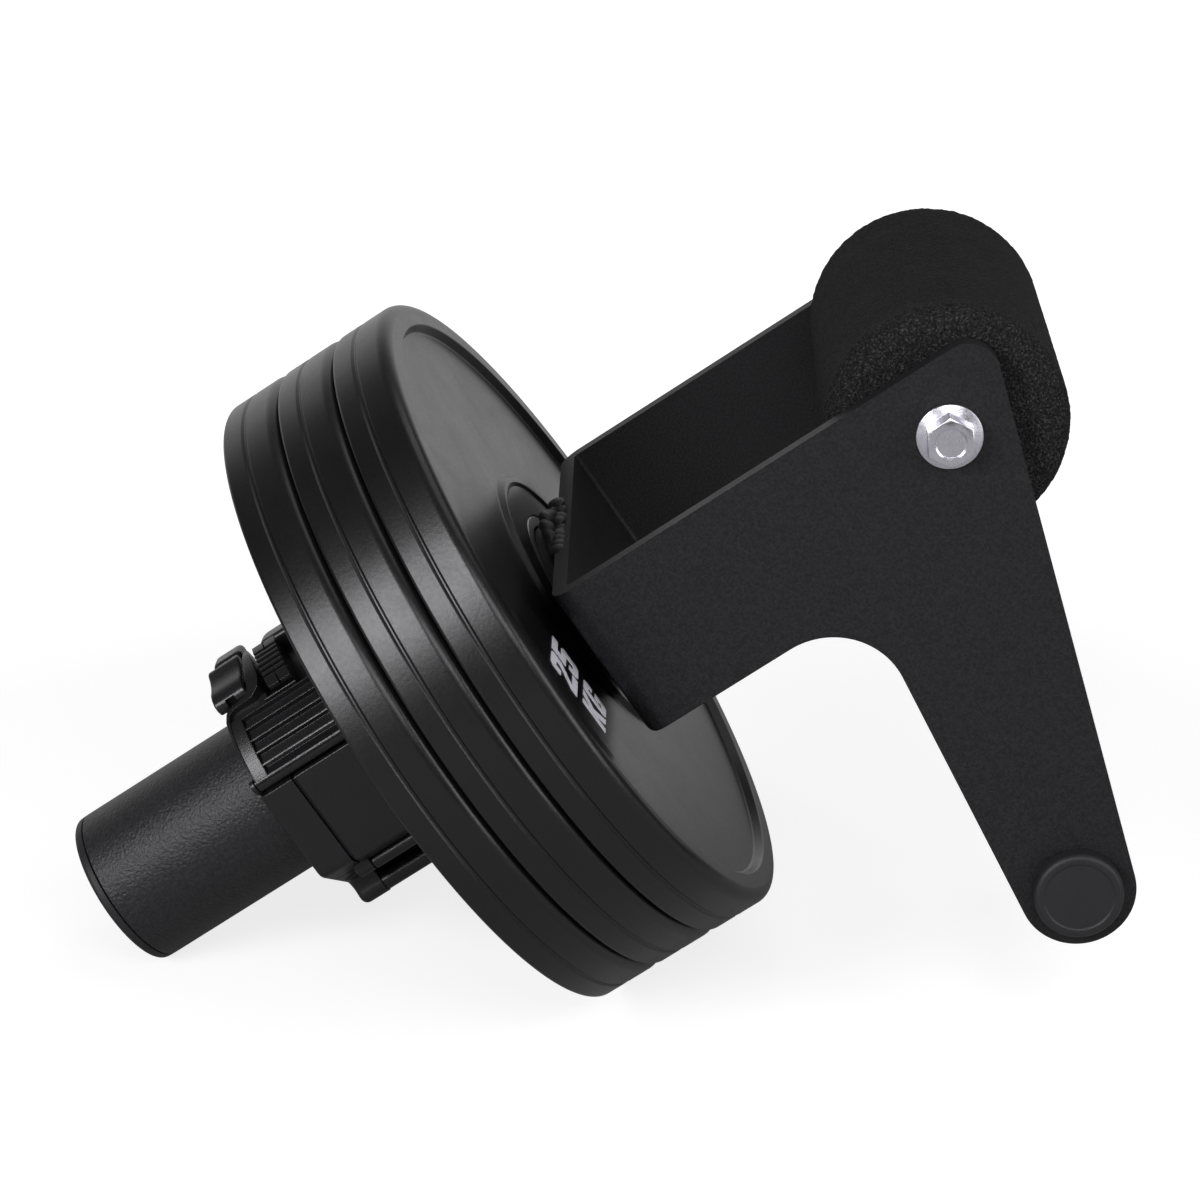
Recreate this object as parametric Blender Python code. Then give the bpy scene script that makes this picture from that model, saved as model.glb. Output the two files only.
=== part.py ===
"""Single-leg tib bar: a bent steel bracket with a foam roller, a heel bar and a loading
sleeve that carries three rubber plates and a quick-release collar.

Metres, +Z up. Every piece is built in the bracket's own axes (X along the sleeve axis
towards the roller, Y across, Z up the web) under one empty, which tips the whole thing
on to the sleeve end and the outer plate, the way it stands on a floor.
"""
import math

import bmesh
import bpy
from mathutils import Vector

# Gap kept between pieces that touch or run in each other.
CLEARANCE = 0.0003

# Bracket: one strip of sheet bent to a U, its two sides cut to an L.
BRACKET_HALF_WIDTH = 0.065
SHEET = 0.005
BEND_INNER_RADIUS = 0.0015
ARM_TOP = 0.0230
ARM_BOTTOM = 0.0265
FRONT_LEAN = math.radians(18.0)
BACK_LEAN = math.radians(7.1)
LEG_END_RADIUS = 0.017
TOP_CORNER_RADIUS = 0.009
UNDERARM_RADIUS = 0.022
WEB_CORNER_RADIUS = 0.003

# Where the roller's bolt and the heel bar cross the sides, from the web's outer face and
# the sleeve axis.
ROLLER_X = 0.1193
ROLLER_Z = 0.0020
HEEL_X = 0.0765
HEEL_Z = -0.1345

# Loading sleeve.
SLEEVE_RADIUS = 0.025
SLEEVE_WALL = 0.0035
SLEEVE_LENGTH = 0.1765
WELD_LEG = 0.0035
PLUG_FLANGE = 0.003
PLUG_EDGE = 0.0015
PLUG_DEPTH = 0.016

# Weight plates.
PLATE_COUNT = 3
PLATE_RADIUS = 0.105
PLATE_THICKNESS = 0.0195
PLATE_EDGE = 0.0025
PLATE_LIP = 0.0085
PLATE_DISH = 0.0025
PLATE_BOSS_RADIUS = 0.041
PLATE_BOSS_DROP = 0.001
PLATE_SKIN = 0.00175
PLATE_BORE_PLAY = 0.0006
HUB_WALL = 0.0034
CORE_RIM_COVER = 0.006
FIRST_PLATE_GAP = 0.0045

# Roller.
ROLLER_RADIUS = 0.035
ROLLER_EDGE = 0.007
ROLLER_SIDE_GAP = 0.0014
CORE_TUBE_RADIUS = 0.0125
CORE_TUBE_WALL = 0.0015
BUSH_FLANGE = 0.001
BUSH_DEPTH = 0.014

# Roller bolt, an 8 mm flange bolt with a washer and a lock nut.
BOLT_RADIUS = 0.004
BOLT_FLANGE_RADIUS = 0.0094
BOLT_FLANGE_HEIGHT = 0.0018
BOLT_FLANGE_RIM = 0.0007
BOLT_HEX_SINK = 0.0003
HEX_FLATS = 0.013
BOLT_HEX_HEIGHT = 0.0055
WASHER_RADIUS = 0.008
WASHER_HEIGHT = 0.0016
NUT_HEIGHT = 0.008
BOLT_END_BEYOND_NUT = 0.002

# Heel bar and its caps.
HEEL_RADIUS = 0.011
HEEL_WALL = 0.0015
CAP_RADIUS = 0.013
CAP_HEIGHT = 0.005
CAP_EDGE = 0.0018
CAP_STEM_DEPTH = 0.012

# Quick-release collar. Angles are about the sleeve axis, from up towards the near side.
COLLAR_WIDTH = 0.0470
RING_WIDTH = 0.0108
RING_DROP = 0.0013
RING_EDGE = 0.0016
PAD_THICKNESS = 0.0017
JAW_WALL = 0.0082
SPLIT_TOP = math.radians(45.0)
SPLIT_BOTTOM = math.radians(132.0)
SPLIT_HALF_GAP = math.radians(1.2)
PAD_INSET = math.radians(5.0)
PAD_END_INSET = 0.002
PIN_SHORT = 0.0005
HINGE_REACH = 0.0033
HINGE_PIN_RADIUS = 0.0012
HINGE_KNUCKLE_RADIUS = 0.0029
HINGE_LUG_SPAN = math.radians(15.0)
HINGE_OUTER_INSET = 0.0065
HINGE_INNER_INSET = 0.0015
HINGE_END_KNUCKLE = 0.0055
LEVER_PIVOT = math.radians(67.0)
LEVER_TOP = math.radians(45.6)
LEVER_REACH = 0.0030
LEVER_PIN_RADIUS = 0.0012
LEVER_KNUCKLE_RADIUS = 0.0026
LEVER_WRAP_BEFORE = math.radians(20.0)
LEVER_WRAP_AFTER = math.radians(150.0)
LEVER_PLATE = 0.0030
LEVER_RIB = 0.0012
LEVER_RIB_COUNT = 5
# Where, over one rib's pitch, the rib's top ends and the valley starts and ends.
LEVER_RIB_SHAPE = (0.22, 0.34, 0.90)
LEVER_EAR = 0.0025
LEVER_EAR_SPAN = math.radians(4.5)
LEVER_WALL = 0.0035
LEVER_ARM_OFFSET = 0.0136
LEVER_ARM_WIDTH = 0.0030
LEVER_ARM_TIP = math.radians(22.0)
LEVER_ARM_LIFT = 0.0030
LEVER_ARM_HEIGHT = 0.0045
LEVER_ARM_ROOT = math.radians(5.0)
LEVER_SHOULDER = math.radians(4.5)
LEVER_SHOULDER_ROOT = math.radians(2.0)
LEVER_WALL_RISE = 0.0006
LEVER_WALL_INSET = math.radians(0.6)
LEVER_WALL_STOP = math.radians(9.0)
LEVER_OVERLAP = 0.0004
CATCH_OFFSET = 0.0171
CATCH_WIDTH = 0.0080
CATCH_START = math.radians(22.0)
CATCH_END = math.radians(42.5)
CATCH_HEIGHT = 0.0072
CATCH_TOOTH = 0.0012
CATCH_TOOTH_COUNT = 5
# Where, over one tooth's pitch, the groove's floor starts and ends and the tip starts.
CATCH_TOOTH_SHAPE = (0.15, 0.45, 0.60)
CATCH_END_PAD = math.radians(4.6)
TAB_OFFSET = 0.0044
TAB_WIDTH = 0.0089
TAB_EAR = 0.0026
TAB_EAR_SPAN = math.radians(3.5)
TAB_SLOT = math.radians(6.5)
TAB_START = math.radians(16.0)
TAB_PIVOT = math.radians(34.0)
TAB_REACH = 0.0047
TAB_PIN_RADIUS = 0.0010
TAB_KNUCKLE_RADIUS = 0.0024
TAB_LIFT = 0.0022
TAB_THICKNESS = 0.0050
TAB_ROUND = 0.0018

# Share of a small edge radius that its one middle point keeps.
EDGE_MIDDLE = 0.3

# Hinge ears: how deep their root sits in the shell, and how far the round end wraps.
EAR_ROOT = 0.6
EAR_WRAP = math.radians(60.0)

# Edges that turn less than this are shaded smooth.
SMOOTH_ANGLE = math.radians(35.0)

# Facets round a full circle.
PLATE_FACETS = 48
TUBE_FACETS = 40
SMALL_FACETS = 24
ARC_STEP = math.radians(12.0)
COLLAR_STEP = math.radians(8.0)

# How far a cutter runs past what it cuts.
CUT_MARGIN = 0.004

# Places that follow from the sizes above.
INNER_HALF_WIDTH = BRACKET_HALF_WIDTH - SHEET
PLATE_BORE = SLEEVE_RADIUS + PLATE_BORE_PLAY
HUB_RADIUS = PLATE_BORE + HUB_WALL
CORE_BORE = HUB_RADIUS + CLEARANCE
PAD_BORE = SLEEVE_RADIUS + CLEARANCE
JAW_BORE = PAD_BORE + PAD_THICKNESS + CLEARANCE
JAW_RADIUS = JAW_BORE + JAW_WALL
COLLAR_INNER_X = -(FIRST_PLATE_GAP + PLATE_COUNT * PLATE_THICKNESS + CLEARANCE)
COLLAR_OUTER_X = COLLAR_INNER_X - COLLAR_WIDTH
HEAD_FACE_Y = -(BRACKET_HALF_WIDTH + CLEARANCE)


def clear_scene():
    for item in list(bpy.data.objects):
        bpy.data.objects.remove(item, do_unlink=True)


def make_material(name, colour, roughness, metallic=0.0):
    material = bpy.data.materials.new(name)
    material.use_nodes = True
    shader = material.node_tree.nodes["Principled BSDF"]
    shader.inputs["Base Color"].default_value = (*colour, 1.0)
    shader.inputs["Roughness"].default_value = roughness
    shader.inputs["Metallic"].default_value = metallic
    material.diffuse_color = (*colour, 1.0)
    return material


def make_empty(name, parent, location=(0.0, 0.0, 0.0)):
    empty = bpy.data.objects.new(name, None)
    empty.empty_display_size = 0.02
    empty.location = location
    empty.parent = parent
    bpy.context.scene.collection.objects.link(empty)
    return empty


def finish_mesh(name, mesh_data, material, parent, smooth=False):
    """Turn a bmesh into a named object; round pieces are shaded smooth."""
    bmesh.ops.remove_doubles(mesh_data, verts=mesh_data.verts, dist=0.000002)
    bmesh.ops.recalc_face_normals(mesh_data, faces=mesh_data.faces)
    if smooth:
        for face in mesh_data.faces:
            face.smooth = True
        for edge in mesh_data.edges:
            edge.smooth = edge.calc_face_angle(0.0) < SMOOTH_ANGLE
    mesh = bpy.data.meshes.new(name)
    mesh_data.to_mesh(mesh)
    mesh_data.free()
    piece = bpy.data.objects.new(name, mesh)
    if material:
        mesh.materials.append(material)
    piece.parent = parent
    bpy.context.scene.collection.objects.link(piece)
    return piece


def lathe(mesh_data, profile, facets, axis="X", centre=(0.0, 0.0)):
    """Spin a closed profile of (along, radius) points about a line parallel to X or Y.

    centre is the line's place in the other two directions. A flat of the round faces
    straight down, so a wheel stands on a facet.
    """
    half_step = math.pi / facets
    if axis == "X":
        spin_axis = Vector((1.0, 0.0, 0.0))
        middle = Vector((0.0, centre[0], centre[1]))
        out = Vector((0.0, math.sin(half_step), -math.cos(half_step)))
    else:
        spin_axis = Vector((0.0, 1.0, 0.0))
        middle = Vector((centre[0], 0.0, centre[1]))
        out = Vector((math.sin(half_step), 0.0, -math.cos(half_step)))
    verts = [mesh_data.verts.new(middle + spin_axis * along + out * radius) for along, radius in profile]
    edges = []
    for index, vert in enumerate(verts):
        on_axis = profile[index][1] == 0.0 and profile[(index + 1) % len(profile)][1] == 0.0
        if not on_axis:
            edges.append(mesh_data.edges.new((vert, verts[(index + 1) % len(verts)])))
    bmesh.ops.spin(
        mesh_data,
        geom=verts + edges,
        cent=middle,
        axis=spin_axis,
        angle=2.0 * math.pi,
        steps=facets,
        use_merge=True,
    )
    return mesh_data


def lathe_piece(name, profile, facets, material, parent, axis="X", centre=(0.0, 0.0)):
    mesh_data = lathe(bmesh.new(), profile, facets, axis, centre)
    return finish_mesh(name, mesh_data, material, parent, smooth=True)


def tube_profile(start, end, inner, outer):
    return [(start, inner), (end, inner), (end, outer), (start, outer)]


def pin_profile(start, end, radius):
    return [(start, 0.0), (start, radius), (end, radius), (end, 0.0)]


def prism(mesh_data, outline, low, high, axis):
    """Extrude a flat outline along an axis: (y, z) points along X, (x, z) along Y, (x, y) along Z."""
    if axis == "X":
        corners = [Vector((low, first, second)) for first, second in outline]
        travel = Vector((high - low, 0.0, 0.0))
    elif axis == "Y":
        corners = [Vector((first, low, second)) for first, second in outline]
        travel = Vector((0.0, high - low, 0.0))
    else:
        corners = [Vector((first, second, low)) for first, second in outline]
        travel = Vector((0.0, 0.0, high - low))
    face = mesh_data.faces.new([mesh_data.verts.new(corner) for corner in corners])
    grown = bmesh.ops.extrude_face_region(mesh_data, geom=[face])
    moved = [item for item in grown["geom"] if isinstance(item, bmesh.types.BMVert)]
    bmesh.ops.translate(mesh_data, verts=moved, vec=travel)
    return mesh_data


def circle_outline(centre, radius, facets):
    points = []
    for index in range(facets):
        angle = 2.0 * math.pi * (index + 0.5) / facets
        points.append((centre[0] + radius * math.sin(angle), centre[1] - radius * math.cos(angle)))
    return points


def arc_points(centre, radius, start, end):
    """Points of an arc; angles run from +first towards +second axis."""
    steps = max(1, math.ceil(abs(end - start) / ARC_STEP - 1e-6))
    points = []
    for index in range(steps + 1):
        angle = start + (end - start) * index / steps
        points.append((centre[0] + radius * math.cos(angle), centre[1] + radius * math.sin(angle)))
    return points


def rounded_outline(corners):
    """An outline from (first, second, radius) corners, each rounded with a tangent arc."""
    points = []
    count = len(corners)
    for index in range(count):
        here = Vector(corners[index][:2])
        radius = corners[index][2]
        before = (Vector(corners[index - 1][:2]) - here).normalized()
        after = (Vector(corners[(index + 1) % count][:2]) - here).normalized()
        if radius <= 0.0:
            points.append(tuple(here))
            continue
        half = before.angle(after) / 2.0
        centre = here + (before + after).normalized() * (radius / math.sin(half))
        first = here + before * (radius / math.tan(half)) - centre
        last = here + after * (radius / math.tan(half)) - centre
        start = math.atan2(first.y, first.x)
        sweep = math.atan2(last.y, last.x) - start
        sweep = (sweep + math.pi) % (2.0 * math.pi) - math.pi
        points += arc_points(centre, radius, start, start + sweep)
    return points


def polar(radius, angle):
    """(y, z) of a point about the sleeve axis; the angle runs from up towards the near side."""
    return (-radius * math.sin(angle), radius * math.cos(angle))


def polar_arc(radius, start, end):
    steps = max(1, math.ceil(abs(end - start) / ARC_STEP - 1e-6))
    return [polar(radius, start + (end - start) * index / steps) for index in range(steps + 1)]


def sector_outline(inner, outer, start, end):
    return polar_arc(outer, start, end) + polar_arc(inner, end, start)


def sweep_sector(mesh_data, profile, start, end):
    """Sweep a closed (along, radius) profile round the sleeve axis from one angle to another."""
    steps = max(1, math.ceil(abs(end - start) / COLLAR_STEP - 1e-6))
    rings = []
    for index in range(steps + 1):
        angle = start + (end - start) * index / steps
        rings.append([mesh_data.verts.new((along, *polar(radius, angle))) for along, radius in profile])
    count = len(profile)
    for before, after in zip(rings, rings[1:]):
        for index in range(count):
            following = (index + 1) % count
            mesh_data.faces.new((before[index], before[following], after[following], after[index]))
    mesh_data.faces.new(rings[0])
    mesh_data.faces.new(rings[-1])
    return mesh_data


def shifted(mesh_data, offset):
    bmesh.ops.translate(mesh_data, verts=mesh_data.verts, vec=(0.0, *offset))
    return mesh_data


def jaw_profile():
    """Section of the collar's shell: a slightly smaller ring at the outer end, then the drum."""
    ring = JAW_RADIUS - RING_DROP
    return [
        (0.0, JAW_BORE),
        (0.0, ring - RING_EDGE),
        (RING_EDGE, ring),
        (RING_WIDTH, ring),
        (RING_WIDTH, JAW_RADIUS),
        (COLLAR_WIDTH, JAW_RADIUS),
        (COLLAR_WIDTH, JAW_BORE),
    ]


def as_tool(piece):
    piece.display_type = "WIRE"
    piece.hide_render = True
    piece.hide_viewport = False
    return piece


def combine(piece, tool, operation):
    modifier = piece.modifiers.new(operation.title(), "BOOLEAN")
    modifier.operation = operation
    modifier.solver = "EXACT"
    modifier.object = as_tool(tool)


def side_outline():
    """The L of one side: web corner, arm top, front edge, round leg end, leg back, underarm."""
    front = Vector((math.cos(FRONT_LEAN), -math.sin(FRONT_LEAN)))
    back = Vector((-math.cos(BACK_LEAN), math.sin(BACK_LEAN)))
    heel = Vector((HEEL_X, HEEL_Z))
    front_foot = heel + front * LEG_END_RADIUS
    back_foot = heel + back * LEG_END_RADIUS
    top_x = front_foot.x + (ARM_TOP - front_foot.y) * math.tan(FRONT_LEAN)
    under_x = back_foot.x + (-ARM_BOTTOM - back_foot.y) * math.tan(BACK_LEAN)
    # The leg's two edges meet below the heel bar; rounding that corner gives the leg end.
    below = (front_foot.x - back_foot.x) + (back_foot.y - front_foot.y) * math.tan(FRONT_LEAN)
    meet_drop = below / (math.tan(FRONT_LEAN) - math.tan(BACK_LEAN))
    meet = (back_foot.x - meet_drop * math.tan(BACK_LEAN), back_foot.y - meet_drop)
    return rounded_outline([
        (0.0, ARM_TOP, 0.0),
        (top_x, ARM_TOP, TOP_CORNER_RADIUS),
        (*meet, LEG_END_RADIUS),
        (under_x, -ARM_BOTTOM, UNDERARM_RADIUS),
        (0.0, -ARM_BOTTOM, WEB_CORNER_RADIUS),
    ])


def channel_outline(length):
    """Plan of the bent strip: a U open towards the roller, with rounded bends."""
    outer = BEND_INNER_RADIUS + SHEET
    half = BRACKET_HALF_WIDTH
    inner = INNER_HALF_WIDTH
    return rounded_outline([
        (0.0, -half, outer),
        (length, -half, 0.0),
        (length, -inner, 0.0),
        (SHEET, -inner, BEND_INNER_RADIUS),
        (SHEET, inner, BEND_INNER_RADIUS),
        (length, inner, 0.0),
        (length, half, 0.0),
        (0.0, half, outer),
    ])


def make_bracket(parent, coat):
    outline = side_outline()
    length = max(point[0] for point in outline) + CUT_MARGIN
    low = min(point[1] for point in outline) - CUT_MARGIN
    high = ARM_TOP + CUT_MARGIN
    reach = BRACKET_HALF_WIDTH + CUT_MARGIN
    channel = prism(bmesh.new(), channel_outline(length), low, high, "Z")
    bracket = finish_mesh("bracket", channel, coat, parent)
    # The side tool starts short of the web, so the web's outer face stays as bent.
    lengthened = [(x if x > 0.0 else -CUT_MARGIN, z) for x, z in outline]
    side = prism(bmesh.new(), lengthened, -reach, reach, "Y")
    combine(bracket, finish_mesh("side_tool", side, None, parent), "INTERSECT")
    holes = bmesh.new()
    bolt_hole = circle_outline((ROLLER_X, ROLLER_Z), BOLT_RADIUS + CLEARANCE, SMALL_FACETS)
    prism(holes, bolt_hole, -reach, reach, "Y")
    bar_hole = circle_outline((HEEL_X, HEEL_Z), HEEL_RADIUS + CLEARANCE, TUBE_FACETS)
    prism(holes, bar_hole, -reach, reach, "Y")
    combine(bracket, finish_mesh("hole_tool", holes, None, parent), "DIFFERENCE")
    return bracket


def make_sleeve(parent, coat, plastic):
    end = -(SLEEVE_LENGTH - PLUG_FLANGE - CLEARANCE)
    bore = SLEEVE_RADIUS - SLEEVE_WALL
    foot = -CLEARANCE
    profile = [
        (end, bore),
        (foot, bore),
        (foot, SLEEVE_RADIUS + WELD_LEG),
        (foot - WELD_LEG, SLEEVE_RADIUS),
        (end, SLEEVE_RADIUS),
    ]
    lathe_piece("sleeve_tube", profile, PLATE_FACETS, coat, parent)
    face = -SLEEVE_LENGTH
    seat = face + PLUG_FLANGE
    stem = bore - CLEARANCE
    tip = seat + PLUG_DEPTH
    plug = [
        (face, 0.0),
        (face, SLEEVE_RADIUS - PLUG_EDGE),
        (face + PLUG_EDGE, SLEEVE_RADIUS),
        (seat, SLEEVE_RADIUS),
        (seat, stem),
        (tip, stem),
        (tip, 0.0),
    ]
    lathe_piece("sleeve_end_plug", plug, PLATE_FACETS, plastic, parent)


def make_heel_bar(parent, coat, plastic):
    centre = (HEEL_X, HEEL_Z)
    inner = HEEL_RADIUS - HEEL_WALL
    bar = tube_profile(-BRACKET_HALF_WIDTH, BRACKET_HALF_WIDTH, inner, HEEL_RADIUS)
    lathe_piece("heel_bar", bar, TUBE_FACETS, coat, parent, "Y", centre)
    seat = BRACKET_HALF_WIDTH + CLEARANCE
    face = seat + CAP_HEIGHT
    stem = inner - CLEARANCE
    cap = [
        (seat - CAP_STEM_DEPTH, 0.0),
        (seat - CAP_STEM_DEPTH, stem),
        (seat, stem),
        (seat, CAP_RADIUS),
        (face - CAP_EDGE, CAP_RADIUS),
        (face - EDGE_MIDDLE * CAP_EDGE, CAP_RADIUS - EDGE_MIDDLE * CAP_EDGE),
        (face, CAP_RADIUS - CAP_EDGE),
        (face, 0.0),
    ]
    for name, side in (("heel_cap_near", -1.0), ("heel_cap_far", 1.0)):
        mirrored = [(side * along, radius) for along, radius in cap]
        lathe_piece(name, mirrored, TUBE_FACETS, plastic, parent, "Y", centre)


def hex_outline(centre):
    return circle_outline(centre, HEX_FLATS / 2.0 / math.cos(math.pi / 6.0), 6)


def make_bolt(parent, zinc):
    centre = (ROLLER_X, ROLLER_Z)
    washer_y = BRACKET_HALF_WIDTH + CLEARANCE
    nut_y = washer_y + WASHER_HEIGHT + CLEARANCE
    end = nut_y + NUT_HEIGHT + BOLT_END_BEYOND_NUT
    flange_top = HEAD_FACE_Y - BOLT_FLANGE_HEIGHT
    hex_radius = HEX_FLATS / 2.0
    shank = [
        (end, 0.0),
        (end, BOLT_RADIUS),
        (HEAD_FACE_Y, BOLT_RADIUS),
        (HEAD_FACE_Y, BOLT_FLANGE_RADIUS),
        (HEAD_FACE_Y - BOLT_FLANGE_RIM, BOLT_FLANGE_RADIUS),
        (flange_top, hex_radius - BOLT_HEX_SINK),
        (flange_top, 0.0),
    ]
    bolt = lathe_piece("roller_bolt", shank, SMALL_FACETS, zinc, parent, "Y", centre)
    hex_top = flange_top - BOLT_HEX_HEIGHT
    head = prism(bmesh.new(), hex_outline(centre), hex_top, HEAD_FACE_Y - 2.0 * BOLT_HEX_SINK, "Y")
    combine(bolt, finish_mesh("bolt_head_tool", head, None, parent), "UNION")
    washer = tube_profile(washer_y, washer_y + WASHER_HEIGHT, BOLT_RADIUS + CLEARANCE, WASHER_RADIUS)
    lathe_piece("bolt_washer", washer, SMALL_FACETS, zinc, parent, "Y", centre)
    nut = finish_mesh(
        "bolt_nut",
        prism(bmesh.new(), hex_outline(centre), nut_y, nut_y + NUT_HEIGHT, "Y"),
        zinc,
        parent,
    )
    bore = prism(
        bmesh.new(),
        circle_outline(centre, BOLT_RADIUS + CLEARANCE, SMALL_FACETS),
        nut_y - CUT_MARGIN,
        nut_y + NUT_HEIGHT + CUT_MARGIN,
        "Y",
    )
    combine(nut, finish_mesh("nut_bore_tool", bore, None, parent), "DIFFERENCE")


def make_roller(parent, foam, steel, plastic):
    pivot = make_empty("roller_axis", parent, (ROLLER_X, 0.0, ROLLER_Z))
    half = INNER_HALF_WIDTH - ROLLER_SIDE_GAP
    bore = CORE_TUBE_RADIUS + CLEARANCE
    edge = []
    for index in range(4):
        angle = math.radians(30.0 * index)
        edge.append((
            half - ROLLER_EDGE * (1.0 - math.cos(angle)),
            ROLLER_RADIUS - ROLLER_EDGE * (1.0 - math.sin(angle)),
        ))
    # The edge runs from the end face up to the full radius.
    right = [(half, ROLLER_RADIUS - ROLLER_EDGE)] + edge[1:]
    left = [(-along, radius) for along, radius in reversed(right)]
    lathe_piece("foam_roller", [(-half, bore), (half, bore)] + right + left, TUBE_FACETS, foam, pivot, "Y")
    inner = CORE_TUBE_RADIUS - CORE_TUBE_WALL
    core = tube_profile(-half, half, inner, CORE_TUBE_RADIUS)
    lathe_piece("roller_core_tube", core, SMALL_FACETS, steel, pivot, "Y")
    hole = BOLT_RADIUS + CLEARANCE
    seat = half + CLEARANCE * 0.5
    bush = [
        (seat - BUSH_DEPTH, hole),
        (seat + BUSH_FLANGE, hole),
        (seat + BUSH_FLANGE, CORE_TUBE_RADIUS),
        (seat + CLEARANCE * 0.5, CORE_TUBE_RADIUS),
        (seat + CLEARANCE * 0.5, inner - CLEARANCE),
        (seat - BUSH_DEPTH, inner - CLEARANCE),
    ]
    for name, side in (("roller_bush_near", -1.0), ("roller_bush_far", 1.0)):
        mirrored = [(side * along, radius) for along, radius in bush]
        lathe_piece(name, mirrored, SMALL_FACETS, plastic, pivot, "Y")


def plate_skin_profile():
    """Outside of the rubber, then the pocket for the iron core, open at the bore."""
    half = PLATE_THICKNESS / 2.0
    floor = half - PLATE_DISH
    boss = half - PLATE_BOSS_DROP
    lip = PLATE_RADIUS - PLATE_LIP
    side = [
        (boss, CORE_BORE),
        (boss, PLATE_BOSS_RADIUS),
        (floor, PLATE_BOSS_RADIUS + PLATE_DISH - PLATE_BOSS_DROP),
        (floor, lip - PLATE_DISH),
        (half, lip),
        (half, PLATE_RADIUS - PLATE_EDGE),
        (half - EDGE_MIDDLE * PLATE_EDGE, PLATE_RADIUS - EDGE_MIDDLE * PLATE_EDGE),
        (half - PLATE_EDGE, PLATE_RADIUS),
    ]
    pocket = floor - PLATE_SKIN
    pocket_rim = PLATE_RADIUS - CORE_RIM_COVER
    mirrored = [(-along, radius) for along, radius in reversed(side)]
    inside = [(-pocket, CORE_BORE), (-pocket, pocket_rim), (pocket, pocket_rim), (pocket, CORE_BORE)]
    return side + mirrored + inside


def make_plates(parent, rubber, iron, steel):
    half = PLATE_THICKNESS / 2.0
    core_half = half - PLATE_DISH - PLATE_SKIN - CLEARANCE
    core_rim = PLATE_RADIUS - CORE_RIM_COVER - CLEARANCE
    hub_half = half - PLATE_BOSS_DROP
    names = ("inner", "middle", "outer")
    empties = []
    for index in range(PLATE_COUNT):
        place = -(FIRST_PLATE_GAP + PLATE_THICKNESS * (index + 0.5))
        label = names[index] if index < len(names) else f"extra{index}"
        # Neighbouring plates lie face to face with the usual gap between their lips.
        empty = make_empty(f"plate_{label}_axis", parent, (place, 0.0, 0.0))
        shrink = (PLATE_THICKNESS - CLEARANCE) / PLATE_THICKNESS
        skin = [(along * shrink, radius) for along, radius in plate_skin_profile()]
        lathe_piece(f"plate_{label}_rubber", skin, PLATE_FACETS, rubber, empty)
        core = tube_profile(-core_half, core_half, CORE_BORE, core_rim)
        lathe_piece(f"plate_{label}_core", core, PLATE_FACETS, iron, empty)
        hub = tube_profile(-hub_half, hub_half, PLATE_BORE, HUB_RADIUS)
        lathe_piece(f"plate_{label}_hub", hub, PLATE_FACETS, steel, empty)
        empties.append(empty)
    return empties


def lug_outline(angle, centre, radius, reach_angle):
    """A hinge ear: a round end about the pin on a root that runs down into the jaw."""
    root = JAW_BORE + EAR_ROOT * JAW_WALL
    first = polar(root, angle)
    last = polar(root, reach_angle)
    skin = polar(JAW_RADIUS, reach_angle)
    facing = math.atan2(centre[1], centre[0])
    turn = 1.0 if reach_angle > angle else -1.0
    start = facing - turn * math.pi
    end = facing + turn * EAR_WRAP
    ends = arc_points(centre, radius, start, end)
    return [last, first] + ends + [skin]


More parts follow.
